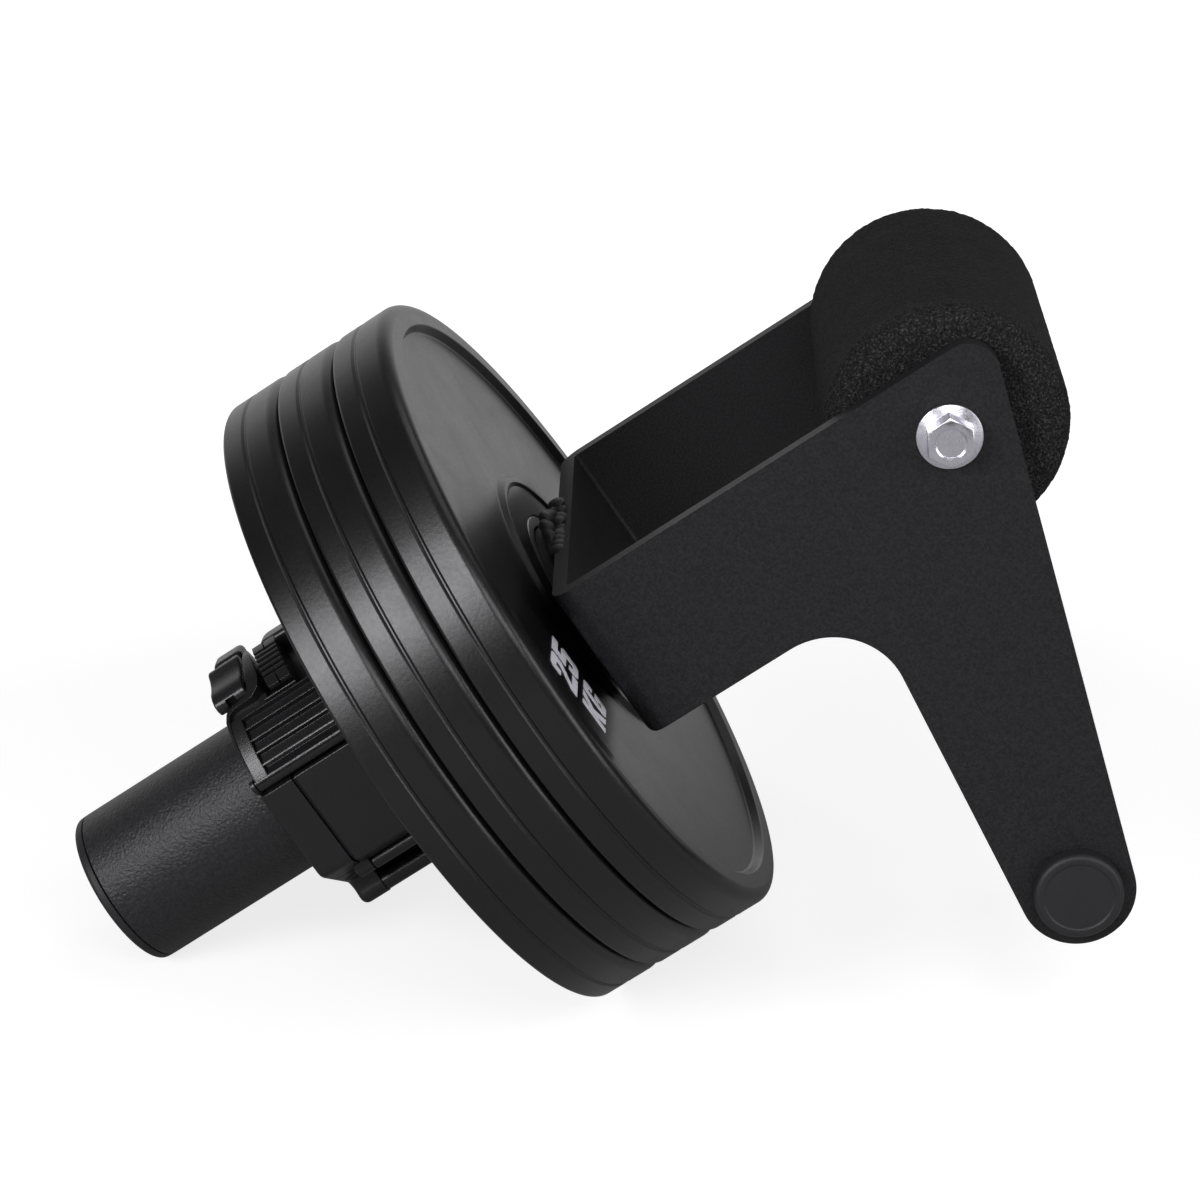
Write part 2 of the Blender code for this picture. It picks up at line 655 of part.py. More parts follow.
def make_collar(parent, nylon, grip, pad, steel):
    axis = make_empty("collar_axis", parent, (COLLAR_OUTER_X, 0.0, 0.0))
    low_split = SPLIT_BOTTOM + SPLIT_HALF_GAP
    top_split = SPLIT_TOP - SPLIT_HALF_GAP + 2.0 * math.pi
    hinge = polar(JAW_RADIUS + HINGE_REACH, SPLIT_BOTTOM)
    lever_pivot = polar(JAW_RADIUS + LEVER_REACH, LEVER_PIVOT)
    tab_pivot = polar(JAW_RADIUS + TAB_REACH, TAB_PIVOT)
    end_a = HINGE_OUTER_INSET
    end_b = end_a + HINGE_END_KNUCKLE
    mid_a = end_b + CLEARANCE
    far_b = COLLAR_WIDTH - HINGE_INNER_INSET
    far_a = far_b - HINGE_END_KNUCKLE
    mid_b = far_a - CLEARANCE

    body = finish_mesh(
        "collar_body",
        sweep_sector(bmesh.new(), jaw_profile(), low_split, top_split),
        nylon,
        axis,
    )
    fixed_lug = lug_outline(low_split, hinge, HINGE_KNUCKLE_RADIUS, SPLIT_BOTTOM + HINGE_LUG_SPAN)
    tab_ear = lug_outline(TAB_PIVOT - TAB_EAR_SPAN, tab_pivot, TAB_KNUCKLE_RADIUS, TAB_PIVOT + TAB_EAR_SPAN)
    tab_end = TAB_OFFSET + TAB_WIDTH
    ear_a = (TAB_OFFSET + tab_end - TAB_EAR) / 2.0
    ear_b = ear_a + TAB_EAR
    added = bmesh.new()
    prism(added, fixed_lug, end_a, end_b, "X")
    prism(added, fixed_lug, far_a, far_b, "X")
    prism(added, tab_ear, ear_a, ear_b, "X")
    combine(body, finish_mesh("body_lug_tool", added, None, axis), "UNION")
    holes = bmesh.new()
    prism(holes, circle_outline(hinge, HINGE_PIN_RADIUS + CLEARANCE, SMALL_FACETS // 2), -CUT_MARGIN,
          COLLAR_WIDTH + CUT_MARGIN, "X")
    prism(holes, circle_outline(tab_pivot, TAB_PIN_RADIUS + CLEARANCE, SMALL_FACETS // 2), TAB_OFFSET,
          tab_end, "X")
    combine(body, finish_mesh("body_hole_tool", holes, None, axis), "DIFFERENCE")

    lining = sector_outline(PAD_BORE, PAD_BORE + PAD_THICKNESS, low_split + PAD_INSET, top_split - PAD_INSET)
    pad_end = COLLAR_WIDTH - PAD_END_INSET
    finish_mesh("collar_body_pad", prism(bmesh.new(), lining, PAD_END_INSET, pad_end, "X"), pad, axis)

    pin = pin_profile(end_a - PIN_SHORT, far_b + PIN_SHORT, HINGE_PIN_RADIUS)
    lathe_piece("collar_hinge_pin", pin, SMALL_FACETS // 2, steel, axis, "X", hinge)
    tab_pin = pin_profile(TAB_OFFSET + PIN_SHORT, tab_end - PIN_SHORT, TAB_PIN_RADIUS)
    lathe_piece("collar_tab_pin", tab_pin, SMALL_FACETS // 2, steel, axis, "X", tab_pivot)

    # Toothed catch: a flat at each end and a row of teeth between them.
    base = JAW_RADIUS + CLEARANCE
    top = base + CATCH_HEIGHT
    floor_start, floor_end, tip_start = CATCH_TOOTH_SHAPE
    teeth = [polar(base, CATCH_START), polar(top, CATCH_START)]
    tooth_start = CATCH_START + CATCH_END_PAD
    tooth_step = (CATCH_END - CATCH_END_PAD - tooth_start) / CATCH_TOOTH_COUNT
    teeth.append(polar(top, tooth_start))
    for index in range(CATCH_TOOTH_COUNT):
        here = tooth_start + tooth_step * index
        teeth.append(polar(top - CATCH_TOOTH, here + floor_start * tooth_step))
        teeth.append(polar(top - CATCH_TOOTH, here + floor_end * tooth_step))
        teeth.append(polar(top, here + tip_start * tooth_step))
        teeth.append(polar(top, here + tooth_step))
    teeth.append(polar(top, CATCH_END))
    teeth += polar_arc(base, CATCH_END, CATCH_START)[:-1]
    catch = prism(bmesh.new(), teeth, CATCH_OFFSET, CATCH_OFFSET + CATCH_WIDTH, "X")
    finish_mesh("collar_catch", catch, grip, axis)

    # Swing jaw, about the hinge pin.
    jaw_axis = make_empty("collar_jaw_axis", axis, (0.0, *hinge))
    shift = (-hinge[0], -hinge[1])

    def moved(outline, offset):
        return [(first + offset[0], second + offset[1]) for first, second in outline]

    jaw_low = SPLIT_BOTTOM - SPLIT_HALF_GAP
    jaw_top = SPLIT_TOP + SPLIT_HALF_GAP
    jaw_ring = shifted(sweep_sector(bmesh.new(), jaw_profile(), jaw_top, jaw_low), shift)
    jaw = finish_mesh("collar_jaw", jaw_ring, nylon, jaw_axis)
    jaw_lug = moved(lug_outline(jaw_low, hinge, HINGE_KNUCKLE_RADIUS, SPLIT_BOTTOM - HINGE_LUG_SPAN), shift)
    ear = moved(
        lug_outline(
            LEVER_PIVOT - LEVER_EAR_SPAN, lever_pivot, LEVER_KNUCKLE_RADIUS, LEVER_PIVOT + LEVER_EAR_SPAN
        ),
        shift,
    )
    grown = bmesh.new()
    prism(grown, jaw_lug, mid_a, mid_b, "X")
    prism(grown, ear, 0.0, LEVER_EAR, "X")
    prism(grown, ear, COLLAR_WIDTH - LEVER_EAR, COLLAR_WIDTH, "X")
    combine(jaw, finish_mesh("jaw_lug_tool", grown, None, jaw_axis), "UNION")
    drilled = bmesh.new()
    prism(drilled, circle_outline((0.0, 0.0), HINGE_PIN_RADIUS + CLEARANCE, SMALL_FACETS // 2), -CUT_MARGIN,
          COLLAR_WIDTH + CUT_MARGIN, "X")
    pivot_here = (lever_pivot[0] + shift[0], lever_pivot[1] + shift[1])
    prism(drilled, circle_outline(pivot_here, LEVER_PIN_RADIUS + CLEARANCE, SMALL_FACETS // 2), -CUT_MARGIN,
          COLLAR_WIDTH + CUT_MARGIN, "X")
    combine(jaw, finish_mesh("jaw_hole_tool", drilled, None, jaw_axis), "DIFFERENCE")
    jaw_lining = sector_outline(PAD_BORE, PAD_BORE + PAD_THICKNESS, jaw_top + PAD_INSET, jaw_low - PAD_INSET)
    finish_mesh(
        "collar_jaw_pad",
        prism(bmesh.new(), moved(jaw_lining, shift), PAD_END_INSET, pad_end, "X"),
        pad,
        jaw_axis,
    )
    lever_pin = pin_profile(PIN_SHORT, COLLAR_WIDTH - PIN_SHORT, LEVER_PIN_RADIUS)
    lathe_piece("collar_lever_pin", lever_pin, SMALL_FACETS // 2, steel, jaw_axis, "X", pivot_here)

    # Lever: a ribbed plate on the lever pin, with a thin arm that reaches over the catch side.
    lever_axis = make_empty("collar_lever_axis", jaw_axis, (0.0, *pivot_here))
    back = (-lever_pivot[0], -lever_pivot[1])
    plate_low = JAW_RADIUS + 2.0 * CLEARANCE
    plate_high = plate_low + LEVER_PLATE
    ribs = []
    top_end, valley_start, valley_end = LEVER_RIB_SHAPE
    rib_start = LEVER_TOP
    rib_step = (LEVER_PIVOT - LEVER_EAR_SPAN - LEVER_TOP) / (LEVER_RIB_COUNT + 0.5)
    for index in range(LEVER_RIB_COUNT + 1):
        here = rib_start + rib_step * index
        ribs.append(polar(plate_high + LEVER_RIB, here))
        ribs.append(polar(plate_high + LEVER_RIB, here + top_end * rib_step))
        if index < LEVER_RIB_COUNT:
            ribs.append(polar(plate_high, here + valley_start * rib_step))
            ribs.append(polar(plate_high, here + valley_end * rib_step))
    facing = math.atan2(lever_pivot[1], lever_pivot[0])
    knuckle = arc_points(
        lever_pivot, LEVER_KNUCKLE_RADIUS, facing - LEVER_WRAP_BEFORE, facing + LEVER_WRAP_AFTER
    )
    under = polar_arc(plate_low, LEVER_PIVOT - LEVER_EAR_SPAN, LEVER_TOP)
    lever_start = LEVER_EAR + CLEARANCE
    lever_end = COLLAR_WIDTH - LEVER_EAR - CLEARANCE
    ribbed = moved(ribs + knuckle + under, back)
    lever = finish_mesh(
        "collar_lever",
        prism(bmesh.new(), ribbed, lever_start, lever_end, "X"),
        grip,
        lever_axis,
    )
    wall_high = plate_high + LEVER_RIB + LEVER_WALL_RISE
    root = plate_low + LEVER_OVERLAP
    wall = sector_outline(root, wall_high, LEVER_TOP + LEVER_WALL_INSET, LEVER_PIVOT - LEVER_WALL_STOP)
    arm_low = JAW_RADIUS + LEVER_ARM_LIFT
    arm_high = arm_low + LEVER_ARM_HEIGHT
    arm = sector_outline(arm_low, arm_high, LEVER_ARM_TIP, LEVER_TOP + LEVER_ARM_ROOT)
    shoulder = sector_outline(
        root, arm_high - LEVER_OVERLAP, LEVER_TOP - LEVER_SHOULDER, LEVER_TOP + LEVER_SHOULDER_ROOT
    )
    arm_end = LEVER_ARM_OFFSET + LEVER_ARM_WIDTH
    for label, outline, low, high in (
        ("wall", wall, lever_start - LEVER_OVERLAP / 4.0, lever_start + LEVER_WALL),
        ("shoulder", shoulder, lever_start + LEVER_OVERLAP, arm_end - LEVER_OVERLAP),
        ("arm", arm, LEVER_ARM_OFFSET, arm_end),
    ):
        grown_part = prism(bmesh.new(), moved(outline, back), low, high, "X")
        combine(lever, finish_mesh(f"lever_{label}_tool", grown_part, None, lever_axis), "UNION")
    bore = prism(
        bmesh.new(),
        circle_outline((0.0, 0.0), LEVER_PIN_RADIUS + CLEARANCE, SMALL_FACETS // 2),
        -CUT_MARGIN,
        COLLAR_WIDTH + CUT_MARGIN,
        "X",
    )
    combine(lever, finish_mesh("lever_hole_tool", bore, None, lever_axis), "DIFFERENCE")

    # Release tab: a rounded cover that rocks on its own pin.
    tab_axis = make_empty("collar_tab_axis", axis, (0.0, *tab_pivot))
    away = (-tab_pivot[0], -tab_pivot[1])
    tab_low = JAW_RADIUS + TAB_LIFT
    tab_high = tab_low + TAB_THICKNESS
    tab_facing = math.atan2(tab_pivot[1], tab_pivot[0])
    nose = TAB_ROUND / tab_high
    tab_outline = (
        [
            polar(tab_low, TAB_START + nose / 3.0),
            polar(tab_low + TAB_ROUND, TAB_START),
            polar(tab_high - TAB_ROUND, TAB_START),
            polar(tab_high - EDGE_MIDDLE * TAB_ROUND, TAB_START + EDGE_MIDDLE * nose),
        ]
        + polar_arc(tab_high, TAB_START + nose, TAB_PIVOT - nose / 3.0)
        + arc_points(tab_pivot, TAB_KNUCKLE_RADIUS, tab_facing, tab_facing + math.pi)
        + polar_arc(tab_low, TAB_PIVOT - nose / 3.0, TAB_START + nose / 3.0)[:-1]
    )
    tab = finish_mesh(
        "collar_release_tab",
        prism(bmesh.new(), moved(tab_outline, away), TAB_OFFSET, tab_end, "X"),
        grip,
        tab_axis,
    )
    tab_bore = prism(
        bmesh.new(),
        circle_outline((0.0, 0.0), TAB_PIN_RADIUS + CLEARANCE, SMALL_FACETS // 2),
        -CUT_MARGIN,
        tab_end + CUT_MARGIN,
        "X",
    )
    combine(tab, finish_mesh("tab_hole_tool", tab_bore, None, tab_axis), "DIFFERENCE")
    # A slot for the body's ear, with room for the tab to rock.
    slot = sector_outline(
        JAW_RADIUS, tab_high + CUT_MARGIN, TAB_PIVOT - TAB_SLOT, TAB_PIVOT + TAB_SLOT
    )
    slot_tool = prism(bmesh.new(), moved(slot, away), ear_a - CLEARANCE, ear_b + CLEARANCE, "X")
    combine(tab, finish_mesh("tab_slot_tool", slot_tool, None, tab_axis), "DIFFERENCE")


def standing_tilt():
    """Tilt of the sleeve axis when the thing rests on the sleeve end and the outer plate."""
    flat = math.cos(math.pi / PLATE_FACETS)
    shrink = (PLATE_THICKNESS - CLEARANCE) / PLATE_THICKNESS
    middle = -(FIRST_PLATE_GAP + PLATE_THICKNESS * (PLATE_COUNT - 0.5))
    lip = [point for point in plate_skin_profile() if point[1] > PLATE_RADIUS - PLATE_LIP]
    plate = [(middle - along * shrink, radius * flat) for along, radius in lip]
    end = [
        (-SLEEVE_LENGTH, (SLEEVE_RADIUS - PLUG_EDGE) * flat),
        (-SLEEVE_LENGTH + PLUG_EDGE, SLEEVE_RADIUS * flat),
    ]
    slopes = []
    for x, radius in end:
        slopes.append(max((edge - radius) / (along - x) for along, edge in plate))
    return math.atan(min(slopes))


def set_on_floor(stand):
    """Bring the middle of the whole box over the origin and its bottom to the floor."""
    bpy.context.view_layer.update()
    graph = bpy.context.evaluated_depsgraph_get()
    places = []
    for item in bpy.context.scene.objects:
        if item.type == "MESH" and not item.hide_render:
            shape = item.evaluated_get(graph)
            places += [shape.matrix_world @ vert.co for vert in shape.data.vertices]
    low = [min(place[side] for place in places) for side in range(3)]
    high = [max(place[side] for place in places) for side in range(3)]
    stand.location.x -= (low[0] + high[0]) / 2.0
    stand.location.y -= (low[1] + high[1]) / 2.0
    stand.location.z -= low[2]
    bpy.context.view_layer.update()


def main():
    clear_scene()
    coat = make_material("powder_coat", (0.020, 0.020, 0.021), 0.62)
    sleeve_coat = make_material("sleeve_coat", (0.024, 0.024, 0.025), 0.55)
    zinc = make_material("zinc", (0.62, 0.63, 0.64), 0.30, 1.0)
    steel = make_material("steel", (0.45, 0.45, 0.46), 0.35, 1.0)
    iron = make_material("cast_iron", (0.10, 0.10, 0.10), 0.75, 1.0)
    rubber = make_material("plate_rubber", (0.016, 0.016, 0.017), 0.42)
    pad = make_material("pad_rubber", (0.030, 0.030, 0.030), 0.80)
    foam = make_material("foam", (0.012, 0.012, 0.013), 0.90)
    cap = make_material("cap_plastic", (0.030, 0.031, 0.033), 0.50)
    bush = make_material("bush_plastic", (0.55, 0.55, 0.52), 0.45)
    nylon = make_material("collar_nylon", (0.018, 0.018, 0.019), 0.38)
    grip = make_material("collar_grip", (0.026, 0.026, 0.028), 0.34)

    stand = make_empty("stand", None)
    stand.rotation_euler = (0.0, -standing_tilt(), 0.0)
    make_bracket(stand, coat)
    make_sleeve(stand, sleeve_coat, cap)
    make_heel_bar(stand, coat, cap)
    make_bolt(stand, zinc)
    make_roller(stand, foam, steel, bush)
    make_plates(stand, rubber, iron, steel)
    make_collar(stand, nylon, grip, pad, steel)
    set_on_floor(stand)


main()
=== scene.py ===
import math
from types import SimpleNamespace

import bmesh
import bpy
from mathutils import Matrix, Vector


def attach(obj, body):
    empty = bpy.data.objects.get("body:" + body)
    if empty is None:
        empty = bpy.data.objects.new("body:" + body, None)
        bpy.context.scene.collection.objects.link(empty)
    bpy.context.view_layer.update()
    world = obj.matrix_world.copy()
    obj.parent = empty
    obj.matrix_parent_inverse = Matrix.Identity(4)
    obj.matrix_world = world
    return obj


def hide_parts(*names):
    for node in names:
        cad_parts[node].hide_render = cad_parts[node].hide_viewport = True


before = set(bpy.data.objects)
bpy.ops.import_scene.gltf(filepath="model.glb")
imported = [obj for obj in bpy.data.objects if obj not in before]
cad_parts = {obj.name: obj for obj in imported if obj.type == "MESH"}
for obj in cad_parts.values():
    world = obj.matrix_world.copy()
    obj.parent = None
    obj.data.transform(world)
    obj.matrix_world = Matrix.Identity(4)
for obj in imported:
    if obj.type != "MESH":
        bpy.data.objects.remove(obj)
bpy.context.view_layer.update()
print("model loaded")

# Everything is drawn in millimetres in the bracket's own axes: X along the sleeve towards
# the roller, Y across, Z up the web. This puts it where the bracket stands.
stand = {"tilt": 35.0119, "x": 0.63, "z": 120.84}
toWorld = (
    Matrix.Scale(0.001, 4)
    @ Matrix.Translation((stand["x"], 0.0, stand["z"]))
    @ Matrix.Rotation(-math.radians(stand["tilt"]), 4, "Y")
)
roundIn = math.cos(math.pi / 48)  # keeps smooth rounds inside the faceted model
gap = 0.3


def sizes(values):
    # a piece's dictionary as plain names
    return SimpleNamespace(**values)


# Shape helpers

def linked(name, data):
    piece = bpy.data.objects.new(name, data)
    bpy.context.scene.collection.objects.link(piece)
    return piece


def newPiece(name, work):
    bmesh.ops.recalc_face_normals(work, faces=work.faces)
    mesh = bpy.data.meshes.new(name)
    work.to_mesh(mesh)
    work.free()
    return linked(name, mesh)


def softOutline(corners, arcStep=7.0):
    # corners are (first, second, fillet), each one rounded with a tangent arc, or (first, second)
    points = []
    for index, corner in enumerate(corners):
        here = Vector(corner[:2])
        if len(corner) == 2:
            points.append(tuple(here))
            continue
        fillet = corner[2]
        before = (Vector(corners[index - 1][:2]) - here).normalized()
        after = (Vector(corners[(index + 1) % len(corners)][:2]) - here).normalized()
        half = before.angle(after) / 2.0
        middle = here + (before + after).normalized() * (fillet / math.sin(half))
        first = here + before * (fillet / math.tan(half)) - middle
        last = here + after * (fillet / math.tan(half)) - middle
        start = math.atan2(first.y, first.x)
        sweep = (math.atan2(last.y, last.x) - start + math.pi) % (2.0 * math.pi) - math.pi
        steps = max(2, math.ceil(abs(math.degrees(sweep)) / arcStep))
        for step in range(steps + 1):
            angle = start + sweep * step / steps
            points.append((middle.x + fillet * math.cos(angle), middle.y + fillet * math.sin(angle)))
    return points


def turned(name, outline, steps=96, along="X", centre=(0.0, 0.0)):
    # spins a closed (along, radius) outline about a line parallel to X or Y
    work = bmesh.new()
    rings = []
    for place, radius in outline:
        ring = []
        for step in range(1 if radius < 1e-6 else steps):
            angle = 2.0 * math.pi * (step + 0.5) / steps
            side, up = centre[0] + radius * math.sin(angle), centre[1] - radius * math.cos(angle)
            ring.append(work.verts.new((place, side, up) if along == "X" else (side, place, up)))
        rings.append(ring)
    for ring, following in zip(rings, rings[1:] + rings[:1]):
        if len(ring) == 1 and len(following) == 1:
            continue
        for step in range(steps):
            after = (step + 1) % steps
            corners = [ring[step % len(ring)], ring[after % len(ring)]]
            corners += [following[after % len(following)], following[step % len(following)]]
            work.faces.new(list(dict.fromkeys(corners)))
    return newPiece(name, work)


def skin(work, rings):
    # faces between like rings of points, and one over each end
    rows = [[work.verts.new(point) for point in ring] for ring in rings]
    for row, following in zip(rows, rows[1:]):
        for index in range(len(row)):
            after = (index + 1) % len(row)
            work.faces.new((row[index], row[after], following[after], following[index]))
    work.faces.new(rows[0])
    work.faces.new(rows[-1])


def skinned(name, rings):
    work = bmesh.new()
    skin(work, rings)
    return newPiece(name, work)


def extruded(name, outline, low, high, along="X"):
    # (y, z) points along X, (x, z) along Y, (x, y) along Z
    order = {
        "X": lambda p, q, s: (s, p, q), "Y": lambda p, q, s: (p, s, q), "Z": lambda p, q, s: (p, q, s),
    }[along]
    return skinned(name, [[order(p, q, side) for p, q in outline] for side in (low, high)])


def polar(radius, angle):
    # a point about the sleeve axis; the angle in degrees runs from up towards the near side
    turn = math.radians(angle)
    return (-radius * math.sin(turn), radius * math.cos(turn))


def polarArc(radius, start, end, arcStep=3.0):
    steps = max(1, math.ceil(abs(end - start) / arcStep))
    return [polar(radius, start + (end - start) * step / steps) for step in range(steps + 1)]


def sector(inner, outer, start, end):
    return polarArc(outer, start, end) + polarArc(inner, end, start)


def circle(centre, radius, steps=48):
    points = []
    for step in range(steps):
        angle = 2.0 * math.pi * (step + 0.5) / steps
        points.append((centre[0] + radius * math.sin(angle), centre[1] - radius * math.cos(angle)))
    return points


def arcAbout(centre, radius, start, stop, steps, first=0):
    # points round a centre, by turns in radians from the first axis
    turns = [start + (stop - start) * step / steps for step in range(first, steps + 1)]
    return [(centre[0] + radius * math.cos(turn), centre[1] + radius * math.sin(turn)) for turn in turns]


def sweptSector(name, outline, start, end, arcStep=3.0):
    # sweeps a closed (along, radius) outline round the sleeve axis
    steps = math.ceil(abs(end - start) / arcStep)
    turns = [start + (end - start) * step / steps for step in range(steps + 1)]
    return skinned(name, [[(place, *polar(radius, turn)) for place, radius in outline] for turn in turns])


def lofted(name, sections):
    # a skin through like (y, z) outlines, each with its place along the sleeve
    return skinned(name, [[(place, p, q) for p, q in outline] for place, outline in sections])


def settled(piece):
    # applies what hangs on the piece and leaves a plain mesh
    graph = bpy.context.evaluated_depsgraph_get()
    mesh = bpy.data.meshes.new_from_object(piece.evaluated_get(graph), depsgraph=graph)
    piece.modifiers.clear()
    piece.data = mesh
    return piece


def softened(piece, width, segments=2, angle=30.0):
    edge = piece.modifiers.new("soft edges", "BEVEL")
    edge.width = width
    edge.segments = segments
    edge.limit_method = "ANGLE"
    edge.angle_limit = math.radians(angle)
    edge.miter_outer = "MITER_ARC"
    return settled(piece)


def joined(piece, tool, how="UNION"):
    work = piece.modifiers.new(how.title(), "BOOLEAN")
    work.operation = how
    work.solver = "EXACT"
    work.object = tool
    settled(piece)
    bpy.data.objects.remove(tool, do_unlink=True)
    return piece


def softBlock(name, outline, first, last, width=0.5, segments=2, angle=50.0):
    return softened(extruded(name, outline, first, last), width, segments, angle)


def bored(piece, centre, radius, low, high, steps=24, along="X"):
    return joined(piece, extruded("bore", circle(centre, radius, steps), low, high, along), "DIFFERENCE")


def finished(piece, body, slotName, nodes=(), paint=None, crease=32.0):
    # shades the piece, puts it in the world and says what it is
    mesh = piece.data
    mesh.materials.clear()
    mesh.materials.append(paints[paint or slotName].material)
    for face in mesh.polygons:
        face.material_index = 0
    mesh.shade_smooth()
    mesh.set_sharp_from_angle(angle=math.radians(crease))
    flats = piece.modifiers.new("flats", "WEIGHTED_NORMAL")
    flats.keep_sharp = True
    settled(piece)
    piece.data.transform(toWorld)
    piece.data.update()
    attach(piece, body)
    if nodes:
        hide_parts(*nodes)
    return piece


# Graphs for materials and for repeated shapes

class Wire:
    # a socket that takes part in plain sums
    def __init__(self, graph, socket):
        self.graph = graph
        self.socket = socket

    def __add__(self, other):
        return self.graph.sum("ADD", self, other)

    def __mul__(self, other):
        return self.graph.sum("MULTIPLY", self, other)

    def __sub__(self, other):
        return self.graph.sum("SUBTRACT", self, other)

    def __rsub__(self, other):
        return self.graph.sum("SUBTRACT", other, self)

    __radd__ = __add__


class Graph:
    def __init__(self, tree):
        self.tree = tree

    def add(self, kind, values=None, out=0, **settings):
        # settings first, then the values or links of the sockets
        node = self.tree.nodes.new(kind)
        for key, value in settings.items():
            setattr(node, key, value)
        for key, value in (values or {}).items():
            self.feed(node.inputs[key], value)
        return Wire(self, node.outputs[out])

    def several(self, kind, outputs, values=None):
        node = self.add(kind, values).socket.node
        return [Wire(self, node.outputs[name]) for name in outputs]

    def feed(self, socket, value):
        if isinstance(value, Wire):
            self.tree.links.new(value.socket, socket)
        else:
            socket.default_value = value

    def sum(self, operation, first, second=0.0):
        return self.add("ShaderNodeMath", {0: first, 1: second}, operation=operation)

    def spread(self, value, low, high, first, last):
        # first to last while the value goes from low to high
        return self.add("ShaderNodeMapRange", {0: value, 1: low, 2: high, 3: first, 4: last})


class Paint(Graph):
    def __init__(self, name, **constants):
        self.material = bpy.data.materials.new(name)
        self.material.use_nodes = True
        super().__init__(self.material.node_tree)
        self.shader = self.tree.nodes["Principled BSDF"]
        for key, value in constants.items():
            self.shader.inputs[key.replace("_", " ")].default_value = value
        self.spot = self.add("ShaderNodeTexCoord", out="Object")

    def noise(self, scale, detail=2.0, roughness=0.5, where=None, distortion=0.0):
        return self.add("ShaderNodeTexNoise", {
            "Vector": where or self.spot, "Scale": scale, "Detail": detail, "Roughness": roughness,
            "Distortion": distortion,
        })

    def cells(self, scale, feature="F1"):
        return self.add("ShaderNodeTexVoronoi", {"Vector": self.spot, "Scale": scale}, feature=feature)

    def ramp(self, value, low, high):
        # black below the low place, white above the high one
        wire = self.add("ShaderNodeValToRGB", {0: value})
        for element, place, level in zip(wire.socket.node.color_ramp.elements, (low, high), (0.0, 1.0)):
            element.position = place
            element.color = (level, level, level, 1.0)
        return wire

    def blend(self, share, first, second):
        return self.add("ShaderNodeMix", {0: share, 6: first, 7: second}, out=2, data_type="RGBA")

    def tones(self, share, dark, light):
        return self.blend(share, tone(dark), tone(light))

    def stretched(self, scale):
        return self.add("ShaderNodeMapping", {"Vector": self.spot, "Scale": scale})

    def turnedBack(self):
        # the bracket's own axes, for patterns that run with the sleeve
        return self.add("ShaderNodeMapping", {
            "Vector": self.spot, "Location": (0.001 * stand["x"], 0.0, 0.001 * stand["z"]),
            "Rotation": (0.0, -math.radians(stand["tilt"]), 0.0),
        }, vector_type="TEXTURE")

    def finish(self, colour, roughness, height, depth):
        bump = self.add("ShaderNodeBump", {"Height": height, "Distance": depth, "Strength": 1.0})
        for key, value in (("Base Color", colour), ("Roughness", roughness), ("Normal", bump)):
            self.feed(self.shader.inputs[key], value)
        return self


def grey(value, warm=0.0):
    return (value * (1.0 + warm), value, value * (1.0 - warm), 1.0)


def tone(value):
    # the faint violet that black rubber, nylon and paint have here
    return (value * 1.0, value * 0.985, value * 1.07, 1.0)


def powderCoat():
    paint = Paint("powder coat", Specular_IOR_Level=0.32)
    grain = paint.noise(1500.0, 2.0, 0.6)
    fine = paint.noise(3800.0, 1.0)
    mottle = paint.noise(45.0, 3.0)
    colour = paint.tones(paint.ramp(grain, 0.36, 0.70), 0.0095, 0.0240)
    rough = 0.50 + (mottle - 0.5) * 0.14 + (fine - 0.5) * 0.16
    return paint.finish(colour, rough, grain * 0.75 + fine * 0.25, 0.00016)


def sleeveCoat():
    paint = Paint("sleeve coat", Specular_IOR_Level=0.5)
    grain = paint.noise(1150.0, 3.0, 0.62)
    pits = paint.cells(1000.0, "SMOOTH_F1")
    fine = paint.noise(3200.0, 1.0)
    colour = paint.tones(paint.ramp(grain, 0.35, 0.72), 0.011, 0.030)
    return paint.finish(colour, 0.42 + (fine - 0.5) * 0.22, grain * 0.7 + pits * 0.35, 0.00034)


def plateRubber():
    paint = Paint("plate rubber", Specular_IOR_Level=0.5)
    own = paint.turnedBack()
    smears = paint.noise(26.0, 4.0, 0.55, own, 1.6)
    fine = paint.noise(900.0, 2.0)
    bloom = paint.noise(9.0, 3.0)
    colour = paint.tones(bloom, 0.0055, 0.0090)
    rough = 0.31 + (smears - 0.5) * 0.14 + (fine - 0.5) * 0.10
    return paint.finish(colour, rough, smears * 0.5 + fine * 0.25, 0.00010)


def rollerFoam():
    paint = Paint("roller foam", Specular_IOR_Level=0.16)
    grain = paint.noise(1150.0, 4.0, 0.7)
    pores = paint.cells(1500.0)
    patches = paint.noise(70.0, 3.0)
    across = paint.sum("ABSOLUTE", paint.add("ShaderNodeSeparateXYZ", {0: paint.spot}, out="Y"))
    ends = paint.spread(across, 0.046, 0.056, 0.26, 1.0)
    specks = paint.ramp(paint.noise(1450.0, 3.0, 0.8), 0.52, 0.66) * ends
    colour = paint.blend(paint.ramp(grain, 0.36, 0.66), grey(0.0030), grey(0.0230))
    colour = paint.blend(specks, colour, grey(0.075))
    return paint.finish(colour, 0.88 + (patches - 0.5) * 0.12, grain * 0.8 + pores * 0.5, 0.00070)


def zincPlate():
    paint = Paint("zinc plate", Metallic=1.0)
    cloud = paint.noise(420.0, 4.0, 0.6)
    scratch = paint.noise(1.0, 2.0, 0.6, paint.stretched((3000.0, 260.0, 3000.0)))
    colour = paint.tones(cloud, 0.68, 0.90)
    rough = 0.21 + cloud * 0.16 + (scratch - 0.5) * 0.10
    return paint.finish(colour, rough, scratch * 0.3 + cloud * 0.7, 0.00006)


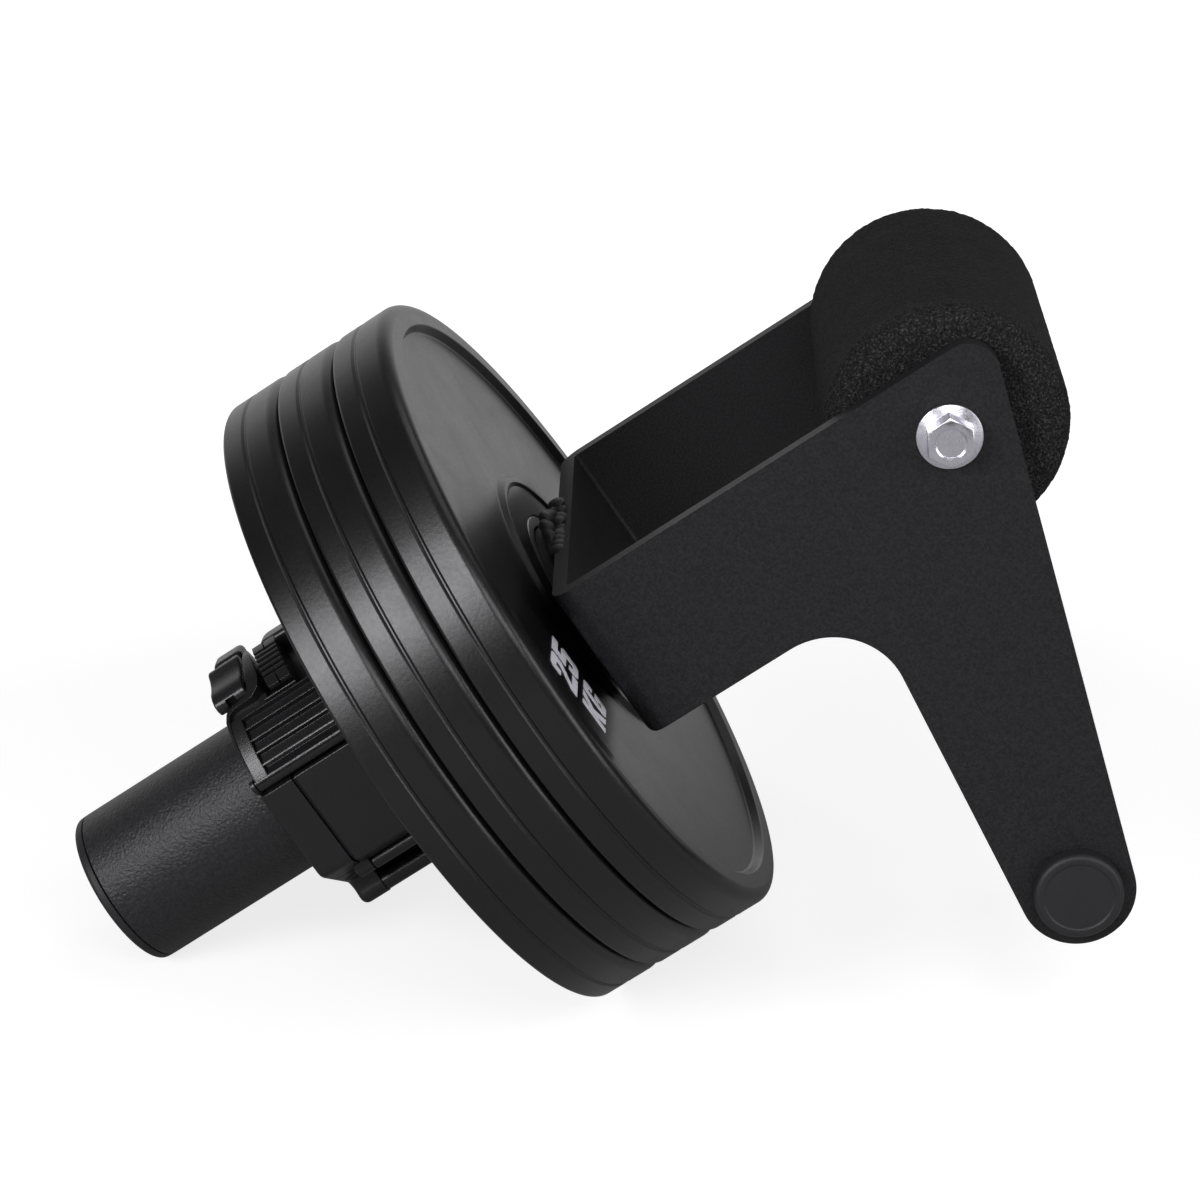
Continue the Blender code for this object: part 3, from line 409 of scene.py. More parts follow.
def turnedSteel(name, dark, light):
    paint = Paint(name, Metallic=1.0)
    lines = paint.noise(1.0, 2.0, 0.5, paint.stretched((5200.0, 400.0, 5200.0)))
    colour = paint.blend(lines, grey(dark), grey(light))
    return paint.finish(colour, 0.30 + lines * 0.18, lines, 0.00003)


def castIron():
    paint = Paint("cast iron", Metallic=0.8)
    grain = paint.noise(700.0, 4.0, 0.7)
    colour = paint.blend(grain, grey(0.045), grey(0.11, 0.03))
    return paint.finish(colour, 0.62 + grain * 0.2, grain, 0.0003)


def moulded(name, dark, light, gloss, depth=0.00006, grainScale=2400.0):
    # moulded plastic or hard rubber: a fine spark-eroded skin with slow flow marks
    paint = Paint(name, Specular_IOR_Level=0.5)
    grain = paint.noise(grainScale, 2.0, 0.6)
    flow = paint.noise(60.0, 3.0, 0.5, None, 0.8)
    colour = paint.tones(flow, dark, light)
    rough = gloss + (flow - 0.5) * 0.12 + (grain - 0.5) * 0.10
    return paint.finish(colour, rough, grain, depth)


def whiteInk():
    paint = Paint("white ink")
    wear = paint.noise(2600.0, 3.0, 0.6)
    patch = paint.noise(300.0, 2.0)
    colour = paint.tones(paint.ramp(wear * 0.6 + patch * 0.4, 0.28, 0.46), 0.48, 0.86)
    return paint.finish(colour, 0.5, wear, 0.00004)


# By material slot, and then the ones that no slot is named after
paints = {
    "powder_coat": powderCoat(),
    "sleeve_coat": sleeveCoat(),
    "plate_rubber": plateRubber(),
    "foam": rollerFoam(),
    "zinc": zincPlate(),
    "steel": turnedSteel("turned steel", 0.36, 0.55),
    "black steel": turnedSteel("blackened steel", 0.05, 0.09),
    "iron": castIron(),
    "cap_plastic": moulded("cap plastic", 0.014, 0.022, 0.50, 0.00010, 1700.0),
    "collar_nylon": moulded("collar nylon", 0.0095, 0.0145, 0.31),
    "collar_grip": moulded("collar grip", 0.0105, 0.0165, 0.27),
    "lining": moulded("lining rubber", 0.018, 0.026, 0.72, 0.00012, 1300.0),
    "bush": moulded("bush plastic", 0.40, 0.52, 0.42),
    "ink": whiteInk(),
}
print("materials made")


# Camera and studio

camera = {"place": (0.0078, -1.17891, 0.54068), "turn": (1.22576, -0.01802, 0.0125), "lens": 126.099}
lens = bpy.data.cameras.new("camera")
lens.lens = camera["lens"]
lens.sensor_width = 36.0
lens.clip_end = 50.0
viewer = linked("camera", lens)
viewer.location = camera["place"]
viewer.rotation_euler = camera["turn"]
bpy.context.scene.camera = viewer
bpy.context.scene.view_settings.view_transform = "Standard"


def softbox(name, place, target, size, power):
    lamp = bpy.data.lights.new(name, "AREA")
    lamp.shape = "RECTANGLE"
    lamp.size, lamp.size_y = size
    lamp.energy = power
    lamp.color = (0.985, 0.975, 1.0)
    holder = linked(name, lamp)
    holder.location = place
    holder.rotation_euler = (Vector(target) - Vector(place)).to_track_quat("-Z", "Y").to_euler()


# Each lamp's place, the point it faces, its size and its power
lamps = {
    "top": ((0.30, 0.15, 1.30), (0.0, 0.0, 0.1), (1.0, 0.8), 2.4),
    "key": ((-0.96, -1.14, 0.74), (-0.06, -0.09, 0.15), (0.70, 0.62), 13.6),
    "right": ((1.05, -0.65, 0.55), (0.05, 0.0, 0.1), (0.5, 0.9), 5.0),
    "front": ((0.25, -1.60, 1.30), (0.0, 0.0, 0.1), (1.2, 0.6), 9.9),
}
for name, values in lamps.items():
    softbox(name, *values)


def studioWorld():
    # white to the camera; reflections find a soft backdrop behind and a faint ceiling
    world = bpy.data.worlds.new("studio")
    world.use_nodes = True
    bpy.context.scene.world = world
    graph = Graph(world.node_tree)
    sky = graph.tree.nodes["Background"]
    seen, = graph.several("ShaderNodeLightPath", ["Is Camera Ray"])
    where = graph.add("ShaderNodeTexCoord", out="Generated")
    depth, height = graph.several("ShaderNodeSeparateXYZ", "YZ", {0: where})
    behind = graph.spread(depth, 0.35, 0.90, 0.04, 0.55)
    above = graph.spread(height, 0.3, 1.0, 0.0, 0.06)
    level = graph.sum("MINIMUM", behind + above, 1.0)
    graph.feed(sky.inputs["Color"], (1.0, 1.0, 1.0, 1.0))
    graph.feed(sky.inputs["Strength"], seen + (1.0 - seen) * level)


def studioFloor():
    # a floor that sweeps up behind; it keeps the shadow and goes to white away from the object
    outline = softOutline([(-3.0, 0.0), (2.2, 0.0, 1.0), (2.2, 3.5)], 6.0)
    count = len(outline)
    points = [(side, *point) for side in (-4.0, 4.0) for point in outline]
    faces = [(at, count + at, count + at + 1, at + 1) for at in range(count - 1)]
    mesh = bpy.data.meshes.new("floor")
    mesh.from_pydata(points, [], faces)
    mesh.shade_smooth()
    material = bpy.data.materials.new("floor")
    material.use_nodes = True
    graph = Graph(material.node_tree)
    graph.tree.nodes.remove(graph.tree.nodes["Principled BSDF"])
    seen, glossy = graph.several("ShaderNodeLightPath", ["Is Camera Ray", "Is Glossy Ray"])
    where = graph.add("ShaderNodeTexCoord", out="Object")
    depth, height = graph.several("ShaderNodeSeparateXYZ", "YZ", {0: where})
    far = graph.add("ShaderNodeVectorMath", {0: where}, out="Value", operation="LENGTH")
    near = graph.spread(far, 0.30, 0.62, 0.80, 1.0)
    back = graph.spread(depth, 0.3, 1.15, 0.05, 0.62)
    low = graph.spread(height, 0.9, 2.0, 1.0, 0.12)
    matt = graph.add("ShaderNodeBsdfDiffuse", {"Color": (0.40, 0.40, 0.40, 1.0)})
    lift = graph.sum("MINIMUM", seen * near + glossy * back * low, 1.0)
    glow = graph.add("ShaderNodeEmission", {"Color": (1.0, 1.0, 1.0, 1.0), "Strength": lift})
    both = graph.add("ShaderNodeAddShader", {0: matt, 1: glow})
    graph.feed(graph.tree.nodes["Material Output"].inputs["Surface"], both)
    mesh.materials.append(material)
    linked("floor", mesh)


studioWorld()
studioFloor()
print("studio set")


# Bracket: the bent strip with its two L-shaped sides

bracket = {
    "halfWidth": 65.0, "sheet": 5.0, "bendInner": 1.5, "armTop": 23.0, "armBottom": 26.5,
    "frontLean": 18.0, "backLean": 7.1, "legEnd": 16.9, "topCorner": 9.0, "underArm": 22.0,
    "webCorner": 3.0, "softEdge": 0.55, "boltHole": 4.3, "barHole": 11.3,
}
rollerPlace = (119.3, 2.0)
heelPlace = (76.5, -134.5)


def sideOutline(size):
    lean, back = math.radians(size.frontLean), math.radians(size.backLean)
    heel = Vector(heelPlace)
    frontFoot = heel + Vector((math.cos(lean), -math.sin(lean))) * size.legEnd
    backFoot = heel + Vector((-math.cos(back), math.sin(back))) * size.legEnd
    topX = frontFoot.x + (size.armTop - frontFoot.y) * math.tan(lean)
    underX = backFoot.x + (-size.armBottom - backFoot.y) * math.tan(back)
    span = (frontFoot.x - backFoot.x) + (backFoot.y - frontFoot.y) * math.tan(lean)
    drop = span / (math.tan(lean) - math.tan(back))
    meet = (backFoot.x - drop * math.tan(back), backFoot.y - drop)
    return softOutline([
        (-8.0, size.armTop),
        (topX, size.armTop, size.topCorner),
        (*meet, size.legEnd),
        (underX, -size.armBottom, size.underArm),
        (0.0, -size.armBottom, size.webCorner),
        (0.0, -size.armBottom + 4.0),
        (-8.0, -size.armBottom + 4.0),
    ], 4.0)


def makeBracket(size):
    half, sheet, inner = size.halfWidth, size.sheet, size.bendInner
    armEnd, past = 190.0, half + 5.0
    channel = softOutline([
        (0.0, -half, inner + sheet), (armEnd, -half), (armEnd, sheet - half),
        (sheet, sheet - half, inner), (sheet, half - sheet, inner), (armEnd, half - sheet),
        (armEnd, half), (0.0, half, inner + sheet),
    ], 9.0)
    piece = extruded("bracketShell", channel, -170.0, 40.0, "Z")
    joined(piece, extruded("sideTool", sideOutline(size), -past, past, "Y"), "INTERSECT")
    for place, radius in ((rollerPlace, size.boltHole), (heelPlace, size.barHole)):
        bored(piece, place, radius, -past, past, 48, "Y")
    softened(piece, size.softEdge, 3, 35.0)
    finished(piece, "frame", "powder_coat", ["bracket"])


makeBracket(sizes(bracket))
print("bracket made")


# Rules: a node group each for repeated shapes and for the foam's grain

def newTree(name, inputs):
    tree = bpy.data.node_groups.new(name, "GeometryNodeTree")
    kinds = {
        "Geometry": "Geometry", "shape": "Object", "finish": "Material", "count": "Int", "seed": "Int",
    }
    for item in inputs:
        kind = "NodeSocket" + kinds.get(item, "Float")
        tree.interface.new_socket(item, in_out="INPUT", socket_type=kind)
    tree.interface.new_socket("Geometry", in_out="OUTPUT", socket_type="NodeSocketGeometry")
    graph = Graph(tree)
    return graph, dict(zip(inputs, graph.several("NodeGroupInput", inputs)))


def closedTree(graph, shape, finish):
    coated = graph.add("GeometryNodeSetMaterial", {"Geometry": shape, "Material": finish})
    leave = graph.tree.nodes.new("NodeGroupOutput")
    graph.feed(leave.inputs[0], coated)
    return graph.tree


def ruled(piece, tree, given):
    # the values are set by the sockets' identifiers before the first evaluation
    rule = piece.modifiers.new("rule", "NODES")
    rule.node_group = tree
    for item in tree.interface.items_tree:
        if item.in_out == "INPUT" and item.name in given:
            rule[item.identifier] = given[item.name]
    return settled(piece)


def repeatTree():
    # copies of one shape, each a step on along Y and a turn on about the sleeve axis
    graph, given = newTree("repeat", [
        "Geometry", "shape", "finish", "count", "pitch", "first angle", "step angle", "size jitter",
        "turn jitter", "seed",
    ])
    step = graph.add("ShaderNodeCombineXYZ", {"Y": given["pitch"]})
    points = graph.add("GeometryNodeMeshLine", {"Count": given["count"], "Offset": step})
    index = graph.add("GeometryNodeInputIndex")
    shake, swell = [
        graph.add("FunctionNodeRandomValue", {2: -1.0, 3: 1.0, "Seed": seed}, out=1, data_type="FLOAT")
        for seed in (given["seed"], given["seed"] + 7.0)
    ]
    angle = given["first angle"] + index * given["step angle"] + shake * given["turn jitter"]
    rotation = graph.add("ShaderNodeCombineXYZ", {"X": angle})
    size = 1.0 + swell * given["size jitter"]
    scale = graph.add("ShaderNodeCombineXYZ", {"X": size, "Y": size, "Z": size})
    source = {"Object": given["shape"]}
    shape = graph.add("GeometryNodeObjectInfo", source, out="Geometry", transform_space="ORIGINAL")
    placed = graph.add("GeometryNodeInstanceOnPoints", {
        "Points": points, "Instance": shape, "Rotation": rotation, "Scale": scale,
    })
    real = graph.add("GeometryNodeRealizeInstances", {0: placed})
    return closedTree(graph, real, given["finish"])


repeat = repeatTree()


def repeated(name, shape, paint, **values):
    # the values are the rule's inputs, with angles in degrees
    piece = linked(name, bpy.data.meshes.new(name))
    given = {"shape": shape, "finish": paints[paint].material, "seed": 3}
    for item in ("pitch", "first angle", "step angle", "size jitter", "turn jitter"):
        given[item] = 0.0
    for key, value in values.items():
        given[key.replace("_", " ")] = math.radians(value) if key.endswith("angle") else value
    ruled(piece, repeat, given)
    bpy.data.objects.remove(shape, do_unlink=True)
    return piece


# Loading sleeve, its plug and the weld that holds it to the web

sleeve = {
    "radius": 25.0, "wall": 3.5, "length": 176.2, "flange": 3.0, "edge": 1.5, "plugDepth": 16.0,
    "groove": 3.3, "grooveHalf": 0.9, "grooveDepth": 0.5,
}
weld = {
    "ringPlace": (-1.2, 0.0, 26.3), "ringSize": (2.0, 4.4, 2.5), "ringLean": 12.0, "scales": 52,
    "topScales": 13, "topRun": 41.0, "topPlace": (0.2, -20.5, 23.2), "topSize": (2.8, 4.8, 1.6),
    "topLean": 20.0,
}


def makeSleeve(size):
    outer = size.radius * roundIn
    bore = size.radius - size.wall
    face = -size.length
    seat = face + size.flange
    end = seat + gap
    tube = turned("sleeveTube", softOutline([
        (end, bore, 0.3), (-gap, bore), (-gap, outer), (end, outer, 0.4),
    ]), 128)
    finished(tube, "frame", "sleeve_coat", ["sleeve_tube"])
    deep = seat + size.plugDepth
    groove, wide, low = outer - size.groove, size.grooveHalf, face + size.grooveDepth
    plug = turned("sleevePlug", softOutline([
        (face, 0.0), (face, groove - wide, 0.3), (low, groove - wide / 3.0, 0.3),
        (low, groove + wide / 3.0, 0.2), (face, groove + wide, 0.3), (face, outer - 0.2, size.edge),
        (seat, outer, 0.3), (seat, bore - gap), (deep, bore - gap, 0.5), (deep, 0.0),
    ]), 128)
    finished(plug, "frame", "cap_plastic", ["sleeve_end_plug"])


def weldScale(shape, place, lean):
    # one scale of a weld bead: a low oval dome, leaning the way the torch went
    work = bmesh.new()
    bmesh.ops.create_uvsphere(work, u_segments=14, v_segments=8, radius=1.0)
    turn = Matrix.Rotation(math.radians(lean), 4, "Z")
    lay = Matrix.Translation(place) @ turn @ Matrix.Diagonal((*shape, 1.0))
    bmesh.ops.transform(work, matrix=lay, verts=work.verts)
    return newPiece("weldScale", work)


def makeWeld(size):
    scale = weldScale(size.ringSize, size.ringPlace, size.ringLean)
    ring = repeated(
        "weldRing", scale, "powder_coat", count=size.scales,
        step_angle=360.0 / size.scales, size_jitter=0.03, turn_jitter=0.05, seed=5,
    )
    finished(ring, "frame", "powder_coat")
    top = repeated(
        "weldTop", weldScale(size.topSize, size.topPlace, size.topLean), "powder_coat",
        count=size.topScales, pitch=size.topRun / size.topScales,
        size_jitter=0.05, turn_jitter=0.05, seed=11,
    )
    finished(top, "frame", "powder_coat")


makeSleeve(sizes(sleeve))
makeWeld(sizes(weld))
print("sleeve made")


# Heel bar and its caps

heel = {
    "radius": 11.0, "wall": 1.5, "halfLength": 65.0, "capRadius": 13.0, "capHeight": 5.0, "capEdge": 1.7,
    "capDepth": 12.0, "dishRim": 2.6, "dishDrop": 0.35,
}


def makeHeelBar(size):
    outer, half = size.radius, size.halfLength
    inner = outer - size.wall
    tube = [(-half, inner), (half, inner), (half, outer), (-half, outer)]
    finished(turned("heelBar", tube, 72, "Y", heelPlace), "frame", "powder_coat", ["heel_bar"])
    seat = half + gap
    face, deep = seat + size.capHeight, seat - size.capDepth
    rim, dish = size.capRadius - size.dishRim, face - size.dishDrop
    outline = softOutline([
        (deep, 0.0), (deep, inner - gap, 0.4), (seat, inner - gap),
        (seat, size.capRadius, 0.35), (face, size.capRadius, size.capEdge), (face, rim, 0.25),
        (dish, rim - 0.5, 0.25), (dish, 0.0),
    ])
    for name, node, side in (("heelCapNear", "heel_cap_near", -1.0), ("heelCapFar", "heel_cap_far", 1.0)):
        cap = turned(name, [(side * place, radius) for place, radius in outline], 96, "Y", heelPlace)
        finished(cap, "frame", "cap_plastic", [node])


makeHeelBar(sizes(heel))


# Roller bolt, washer and nut

bolt = {
    "radius": 4.0, "flange": 9.4, "flangeHeight": 1.8, "flats": 13.0, "hexHeight": 5.5,
    "threadStart": 62.0, "threadEnd": 2.0, "pitch": 1.25, "threadDepth": 0.35,
    "washer": 1.6, "washerRadius": 8.0, "nutHex": 6.3, "nutHeight": 8.0, "clearHole": 4.3,
    "dish": 4.6, "dishDrop": 0.45, "crownStart": 5.0, "crownFoot": 5.9, "crownTop": 5.6,
}


def hexBody(name, flats, low, high, bothEnds=False):
    # a hexagon along Y with a turned chamfer on its low end or on both
    corner = flats / 2.0 / math.cos(math.pi / 6.0)
    piece = extruded(name, circle(rollerPlace, corner, 6), low, high, "Y")
    wide, narrow, chamfer = corner + 0.2, flats / 2.0 - 0.4, 0.7
    drop, rim = (chamfer, narrow) if bothEnds else (0.0, wide)
    dome = turned("domeTool", [
        (low, 0.0), (low, narrow), (low + chamfer, wide), (high - drop, wide), (high, rim), (high, 0.0),
    ], 72, "Y", rollerPlace)
    joined(piece, dome, "INTERSECT")
    return softened(piece, 0.22, 2, 25.0)


def makeBolt(size):
    radius, side, hole = size.radius, size.flats / 2.0, size.clearHole
    seat = bracket["halfWidth"] + gap
    nutSeat = seat + size.washer + gap
    flangeTop = seat + size.flangeHeight
    headTop = flangeTop + size.hexHeight
    end = nutSeat + size.nutHeight + size.threadEnd
    shank = [(end, 0.0), (end, radius - 0.7)]
    place = end - 0.8
    while place > size.threadStart:
        shank += [(place, radius - 0.02), (place - size.pitch * 0.5, radius - size.threadDepth)]
        place -= size.pitch
    shank += [(size.threadStart - 1.0, radius - 0.02), (-seat - 0.05, radius - 0.02)]
    rim = softOutline([
        (-seat, radius), (-seat, size.flange, 0.2), (-seat - 0.7, size.flange, 0.3),
        (-flangeTop, side + 0.1, 0.4), (-flangeTop - 0.4, side - 0.6),
    ])
    piece = turned("rollerBolt", shank + rim + [(-flangeTop - 0.4, 0.0)], 72, "Y", rollerPlace)
    joined(piece, hexBody("boltHead", size.flats, -headTop, -flangeTop + 0.3))
    floor, dish = size.dishDrop - headTop, size.dish
    tool = turned("dishTool", softOutline([
        (-headTop - 1.0, 0.0), (-headTop - 1.0, dish + 0.3), (-headTop, dish, 0.2),
        (floor, dish - 0.6, 0.3), (floor, 0.0),
    ]), 72, "Y", rollerPlace)
    joined(piece, tool, "DIFFERENCE")
    finished(piece, "frame", "zinc", ["roller_bolt"], crease=28.0)
    top, wide = seat + size.washer, size.washerRadius
    washer = turned("boltWasher", softOutline([
        (seat, hole, 0.15), (top, hole, 0.15), (top, wide, 0.3), (seat, wide, 0.3),
    ]), 72, "Y", rollerPlace)
    finished(washer, "frame", "zinc", ["bolt_washer"])
    nut = hexBody("boltNut", size.flats, nutSeat, nutSeat + size.nutHex, True)
    low, high = nutSeat + size.crownStart, nutSeat + size.nutHeight
    crown = turned("nutCrown", softOutline([
        (low, hole), (high, hole + 0.3, 0.3), (high, size.crownTop, 0.5), (low, size.crownFoot),
    ]), 72, "Y", rollerPlace)
    joined(nut, crown)
    bored(nut, rollerPlace, hole, nutSeat - 2.0, nutSeat + 12.0, 48, "Y")
    finished(nut, "frame", "zinc", ["bolt_nut"], crease=28.0)


makeBolt(sizes(bolt))
print("bolt and heel bar made")


# Foam roller: cut foam with rounded ends, its grain raised by a rule

roller = {
    "radius": 35.0, "half": 58.6, "edge": 7.0, "bore": 12.8, "around": 300, "along": 128,
    "grain": 0.30, "pits": 0.62, "slow": 0.2, "endBand": 9.0, "endFade": 6.0, "treadPits": 0.15,
    "grainScale": 0.75, "pitScale": 0.55, "slowScale": 0.05, "sink": 0.25,
}


def foamTree(size):
    # open pits towards the ends, a finer grain along the tread
    graph, given = newTree("foam grain", ["Geometry", "grain", "pits", "end start", "finish"])
    where = graph.add("GeometryNodeInputPosition")
    facing = graph.add("GeometryNodeInputNormal")
    fine = graph.add("ShaderNodeTexNoise", {
        "Vector": where, "Scale": size.grainScale, "Detail": 3.0, "Roughness": 0.6,
    })
    slow = graph.add("ShaderNodeTexNoise", {"Vector": where, "Scale": size.slowScale, "Detail": 2.0})
    cells = graph.add("ShaderNodeTexVoronoi", {"Vector": where, "Scale": size.pitScale})
    across = graph.sum("ABSOLUTE", graph.add("ShaderNodeSeparateXYZ", {0: where}, out="Y"))
    start = given["end start"]
    ends = graph.spread(across, start, start + size.endFade, size.treadPits, 1.0)
    lift = (fine - 0.5) * given["grain"] * 2.0 + (slow - 0.5) * size.slow
    lift = lift + (cells - 0.45) * given["pits"] * ends
    offset = graph.add("ShaderNodeVectorMath", {0: facing, "Scale": lift - size.sink}, operation="SCALE")
    raised = graph.add("GeometryNodeSetPosition", {"Geometry": given["Geometry"], "Offset": offset})
    return closedTree(graph, raised, given["finish"])


def makeFoam(size):
    radius = size.radius * math.cos(math.pi / 40)  # inside the faceted model
    half, edge, bore, along = size.half, size.edge, size.bore, size.along
    flat = half - edge
    corner = arcAbout((flat, radius - edge), edge, 0.0, math.pi / 2.0, 12)
    body = [(flat - 2.0 * flat * step / along, radius) for step in range(1, along)]
    face = [(half, bore + (radius - edge - bore) * step / 16) for step in range(16)]
    near = face + corner
    outline = near + body + [(-place, distance) for place, distance in reversed(near)]
    outline += [(-half + 2.0 * half * step / 6, bore) for step in range(1, 6)]
    piece = turned("rollerFoam", outline, size.around, "Y", rollerPlace)
    piece.data.transform(Matrix.Translation((-rollerPlace[0], 0.0, -rollerPlace[1])))
    ruled(piece, foamTree(size), {
        "grain": size.grain, "pits": size.pits, "end start": half - size.endBand,
        "finish": paints["foam"].material,
    })
    for vert in piece.data.vertices:
        # the end faces stay inside the arms, and the bore stays on its tube
        vert.co.y = max(-half, min(half, vert.co.y))
        reach = math.hypot(vert.co.x, vert.co.z)
        if reach < bore + 0.6:
            vert.co.x *= bore / reach
            vert.co.z *= bore / reach
    piece.data.transform(Matrix.Translation((rollerPlace[0], 0.0, rollerPlace[1])))
    finished(piece, "roller", "foam", ["foam_roller"], crease=80.0)


makeFoam(sizes(roller))
print("roller made")


# Weight plates

plate = {
    "radius": 104.35, "half": 9.6, "pitch": 19.5, "firstGap": 4.5, "frontEdge": 3.8, "backEdge": 1.1,
    "lip": 8.5, "grooveAt": -1.9, "grooveHalf": 0.85, "grooveDepth": 0.6, "floor": 7.15,
    "boss": 8.2, "bossRadius": 39.5, "beadTop": 8.75, "pocket": 5.4, "pocketWall": 6.0,
    "hubBore": 25.6, "hubOuter": 29.0, "hubRadius": 29.3,
}


def plateSide(size, edge):
    # one face of the rubber, from the hub out to the rim
    floor, boss, bead, foot = size.floor, size.boss, size.beadTop, size.bossRadius
    lip = size.radius - size.lip
    return [
        (boss, size.hubRadius, 0.3), (boss, foot, 0.5), (bead, foot + 1.0, 0.7), (bead, foot + 2.4, 0.8),
        (floor, foot + 4.4, 1.4), (floor, lip - 1.7, 1.0), (size.half, lip - 0.2, 0.7),
        (size.half, size.radius * roundIn, edge),
    ]


def makePlate(size, index, label):
    # the rim is tight on the sleeve side, full on the bracket side, and has one shallow groove
    tread, middle = size.radius * roundIn, size.grooveAt
    outline = plateSide(size, size.frontEdge)
    groove = ((1.0, 0.0, 0.5), (0.35, 1.0, 0.35), (-0.35, 1.0, 0.35), (-1.0, 0.0, 0.5))
    for across, depth, fillet in groove:
        outline.append((middle + across * size.grooveHalf, tread - depth * size.grooveDepth, fillet))
    back = plateSide(size, size.backEdge)
    outline += [(-place, radius, fillet) for place, radius, fillet in reversed(back)]
    pocket, rim, hub = size.pocket, size.radius - size.pocketWall, size.hubRadius
    outline += [(-pocket, hub), (-pocket, rim), (pocket, rim), (pocket, hub)]
    piece = turned(f"plateRubber{label}", softOutline(outline, 12.0), 192)
    middle = -(size.firstGap + size.pitch * (index + 0.5))
    piece.data.transform(Matrix.Translation((middle, 0.0, 0.0)))
    body = f"plate_{label.lower()}"
    finished(piece, body, "plate_rubber", [f"{body}_rubber"])
    low, high = middle - size.boss + 0.15, middle + size.boss - 0.15
    ring = turned(f"plateHub{label}", softOutline([
        (low, size.hubBore, 0.6), (high, size.hubBore, 0.6),
        (high, size.hubOuter, 0.4), (low, size.hubOuter, 0.4),
    ]), 96)
    finished(ring, body, "steel", [f"{body}_hub"])
    return middle


# Lettering: block figures on the dish, each one (figure, left, top, width, height)
lettering = {
    "height": 0.18,
    "marks": (
        ("2", -79.7, 12.5, 10.1, 13.1), (".", -69.3, 12.5, 1.9, 13.1), ("5", -67.7, 12.5, 10.3, 13.1),
        ("K", -76.3, -3.4, 9.8, 11.4), ("G", -65.3, -3.4, 7.0, 11.4),
    ),
}
figures = {
    "2": (
        (0.02, 0.62), (0.02, 0.92), (0.14, 1.0), (0.86, 1.0), (0.98, 0.92), (0.98, 0.62), (0.42, 0.2),
        (1.0, 0.2), (1.0, 0.0), (0.1, 0.0), (0.1, 0.22), (0.68, 0.66), (0.68, 0.8), (0.32, 0.8),
        (0.32, 0.62),
    ),
    "5": (
        (0.0, 1.0), (0.9, 1.0), (0.9, 0.79), (0.34, 0.79), (0.34, 0.66), (0.86, 0.66), (1.0, 0.58),
        (1.0, 0.09), (0.87, 0.0), (0.28, 0.0), (0.17, 0.08), (0.17, 0.34), (0.42, 0.34), (0.42, 0.2),
        (0.7, 0.2), (0.7, 0.46), (0.0, 0.46),
    ),
    ".": ((0.0, 0.0), (1.0, 0.0), (1.0, 0.2), (0.0, 0.2)),
    "K": (
        (0.0, 0.0), (0.0, 1.0), (0.29, 1.0), (0.29, 0.62), (0.64, 1.0), (1.0, 1.0), (0.56, 0.52),
        (1.0, 0.0), (0.64, 0.0), (0.29, 0.4), (0.29, 0.0),
    ),
    "G": (
        (1.0, 0.64), (1.0, 0.9), (0.86, 1.0), (0.14, 1.0), (0.0, 0.9), (0.0, 0.1), (0.14, 0.0), (0.86, 0.0),
        (1.0, 0.1), (1.0, 0.52), (0.55, 0.52), (0.55, 0.34), (0.68, 0.34), (0.68, 0.21), (0.34, 0.21),
        (0.34, 0.79), (0.68, 0.79), (0.68, 0.64),
    ),
}


def makeLettering(size, surface, facing, label, body):
    work = bmesh.new()
    for figure, left, top, width, height in size["marks"]:
        skin(work, [[
            (surface + facing * depth, (left + across * width) * facing, top - height + up * height)
            for across, up in figures[figure]
        ] for depth in (-0.1, size["height"])])
    finished(newPiece(f"plateMark{label}", work), body, "plate_rubber", paint="ink")


for index, label in enumerate(("Inner", "Middle", "Outer")):
    middle = makePlate(sizes(plate), index, label)
    body = f"plate_{label.lower()}"
    for side, facing in (("Front", 1.0), ("Back", -1.0)):
        makeLettering(lettering, middle + facing * plate["floor"], facing, label + side, body)
print("plates made")


# Quick-release collar, with places along the sleeve from its outer end and angles in degrees

collar = {
    "outer": -112.6, "width": 49.3, "bore": 27.3, "radius": 36.0, "ringWidth": 11.8, "ringDrop": 0.8,
    "splitTop": 45.0, "splitBottom": 154.4, "halfGap": 1.2,
    "wall": 36.3, "wallTop": 11.3, "underFace": 148.0, "underReach": 36.4,
    "lugReach": 4.4, "lugRound": 3.3, "lugFillet": 5.0, "lugStart": 1.2, "lugEnd": 47.8, "lugWidth": 9.2,
    "lugRoot": 128.0, "cutInner": 20.0, "cutOuter": 60.0, "cutEnd": 165.0,
    "hingeAngle": 132.0, "hingeReach": 2.8, "hingePin": 1.2, "hingeRound": 2.3, "hingeGap": 0.25,
    "hingeStart": 8.6, "hingeEnd": 47.8, "knuckle": 5.5, "pinGap": 0.2,
    "leverPivot": 67.0, "leverReach": 2.5, "leverPin": 1.2, "leverRound": 2.3, "leverTop": 36.5,
    "leverEar": 1.6, "leverUnder": 0.6, "ribs": 5, "firstRib": 37.8, "ribStep": 5.9, "ribBand": 5.0,
    "tabStart": -8.0, "tabPivot": 25.0, "tabReach": 5.2, "tabPin": 0.7, "tabPinGap": 0.9, "tabEar": 1.2,
    "tabUnder": 3.0, "tabFrom": 0.8, "tabTo": 11.8,
    "catchFrom": 17.8, "catchTo": 25.8, "catchStart": 6.6, "catchEnd": 35.0, "catchHeight": 7.2,
    "catchSlant": 0.10, "catchFlat": 5.6, "catchTeeth": 5, "firstTooth": 7.8, "slantAt": 21.0,
    "houseFrom": 17.8, "houseTo": 47.8, "houseStart": -30.0, "houseEnd": 2.0, "houseRise": 6.3,
}
clearLow, clearHigh = collar["outer"] - 4.0, collar["outer"] + 60.0  # cuts that go right through


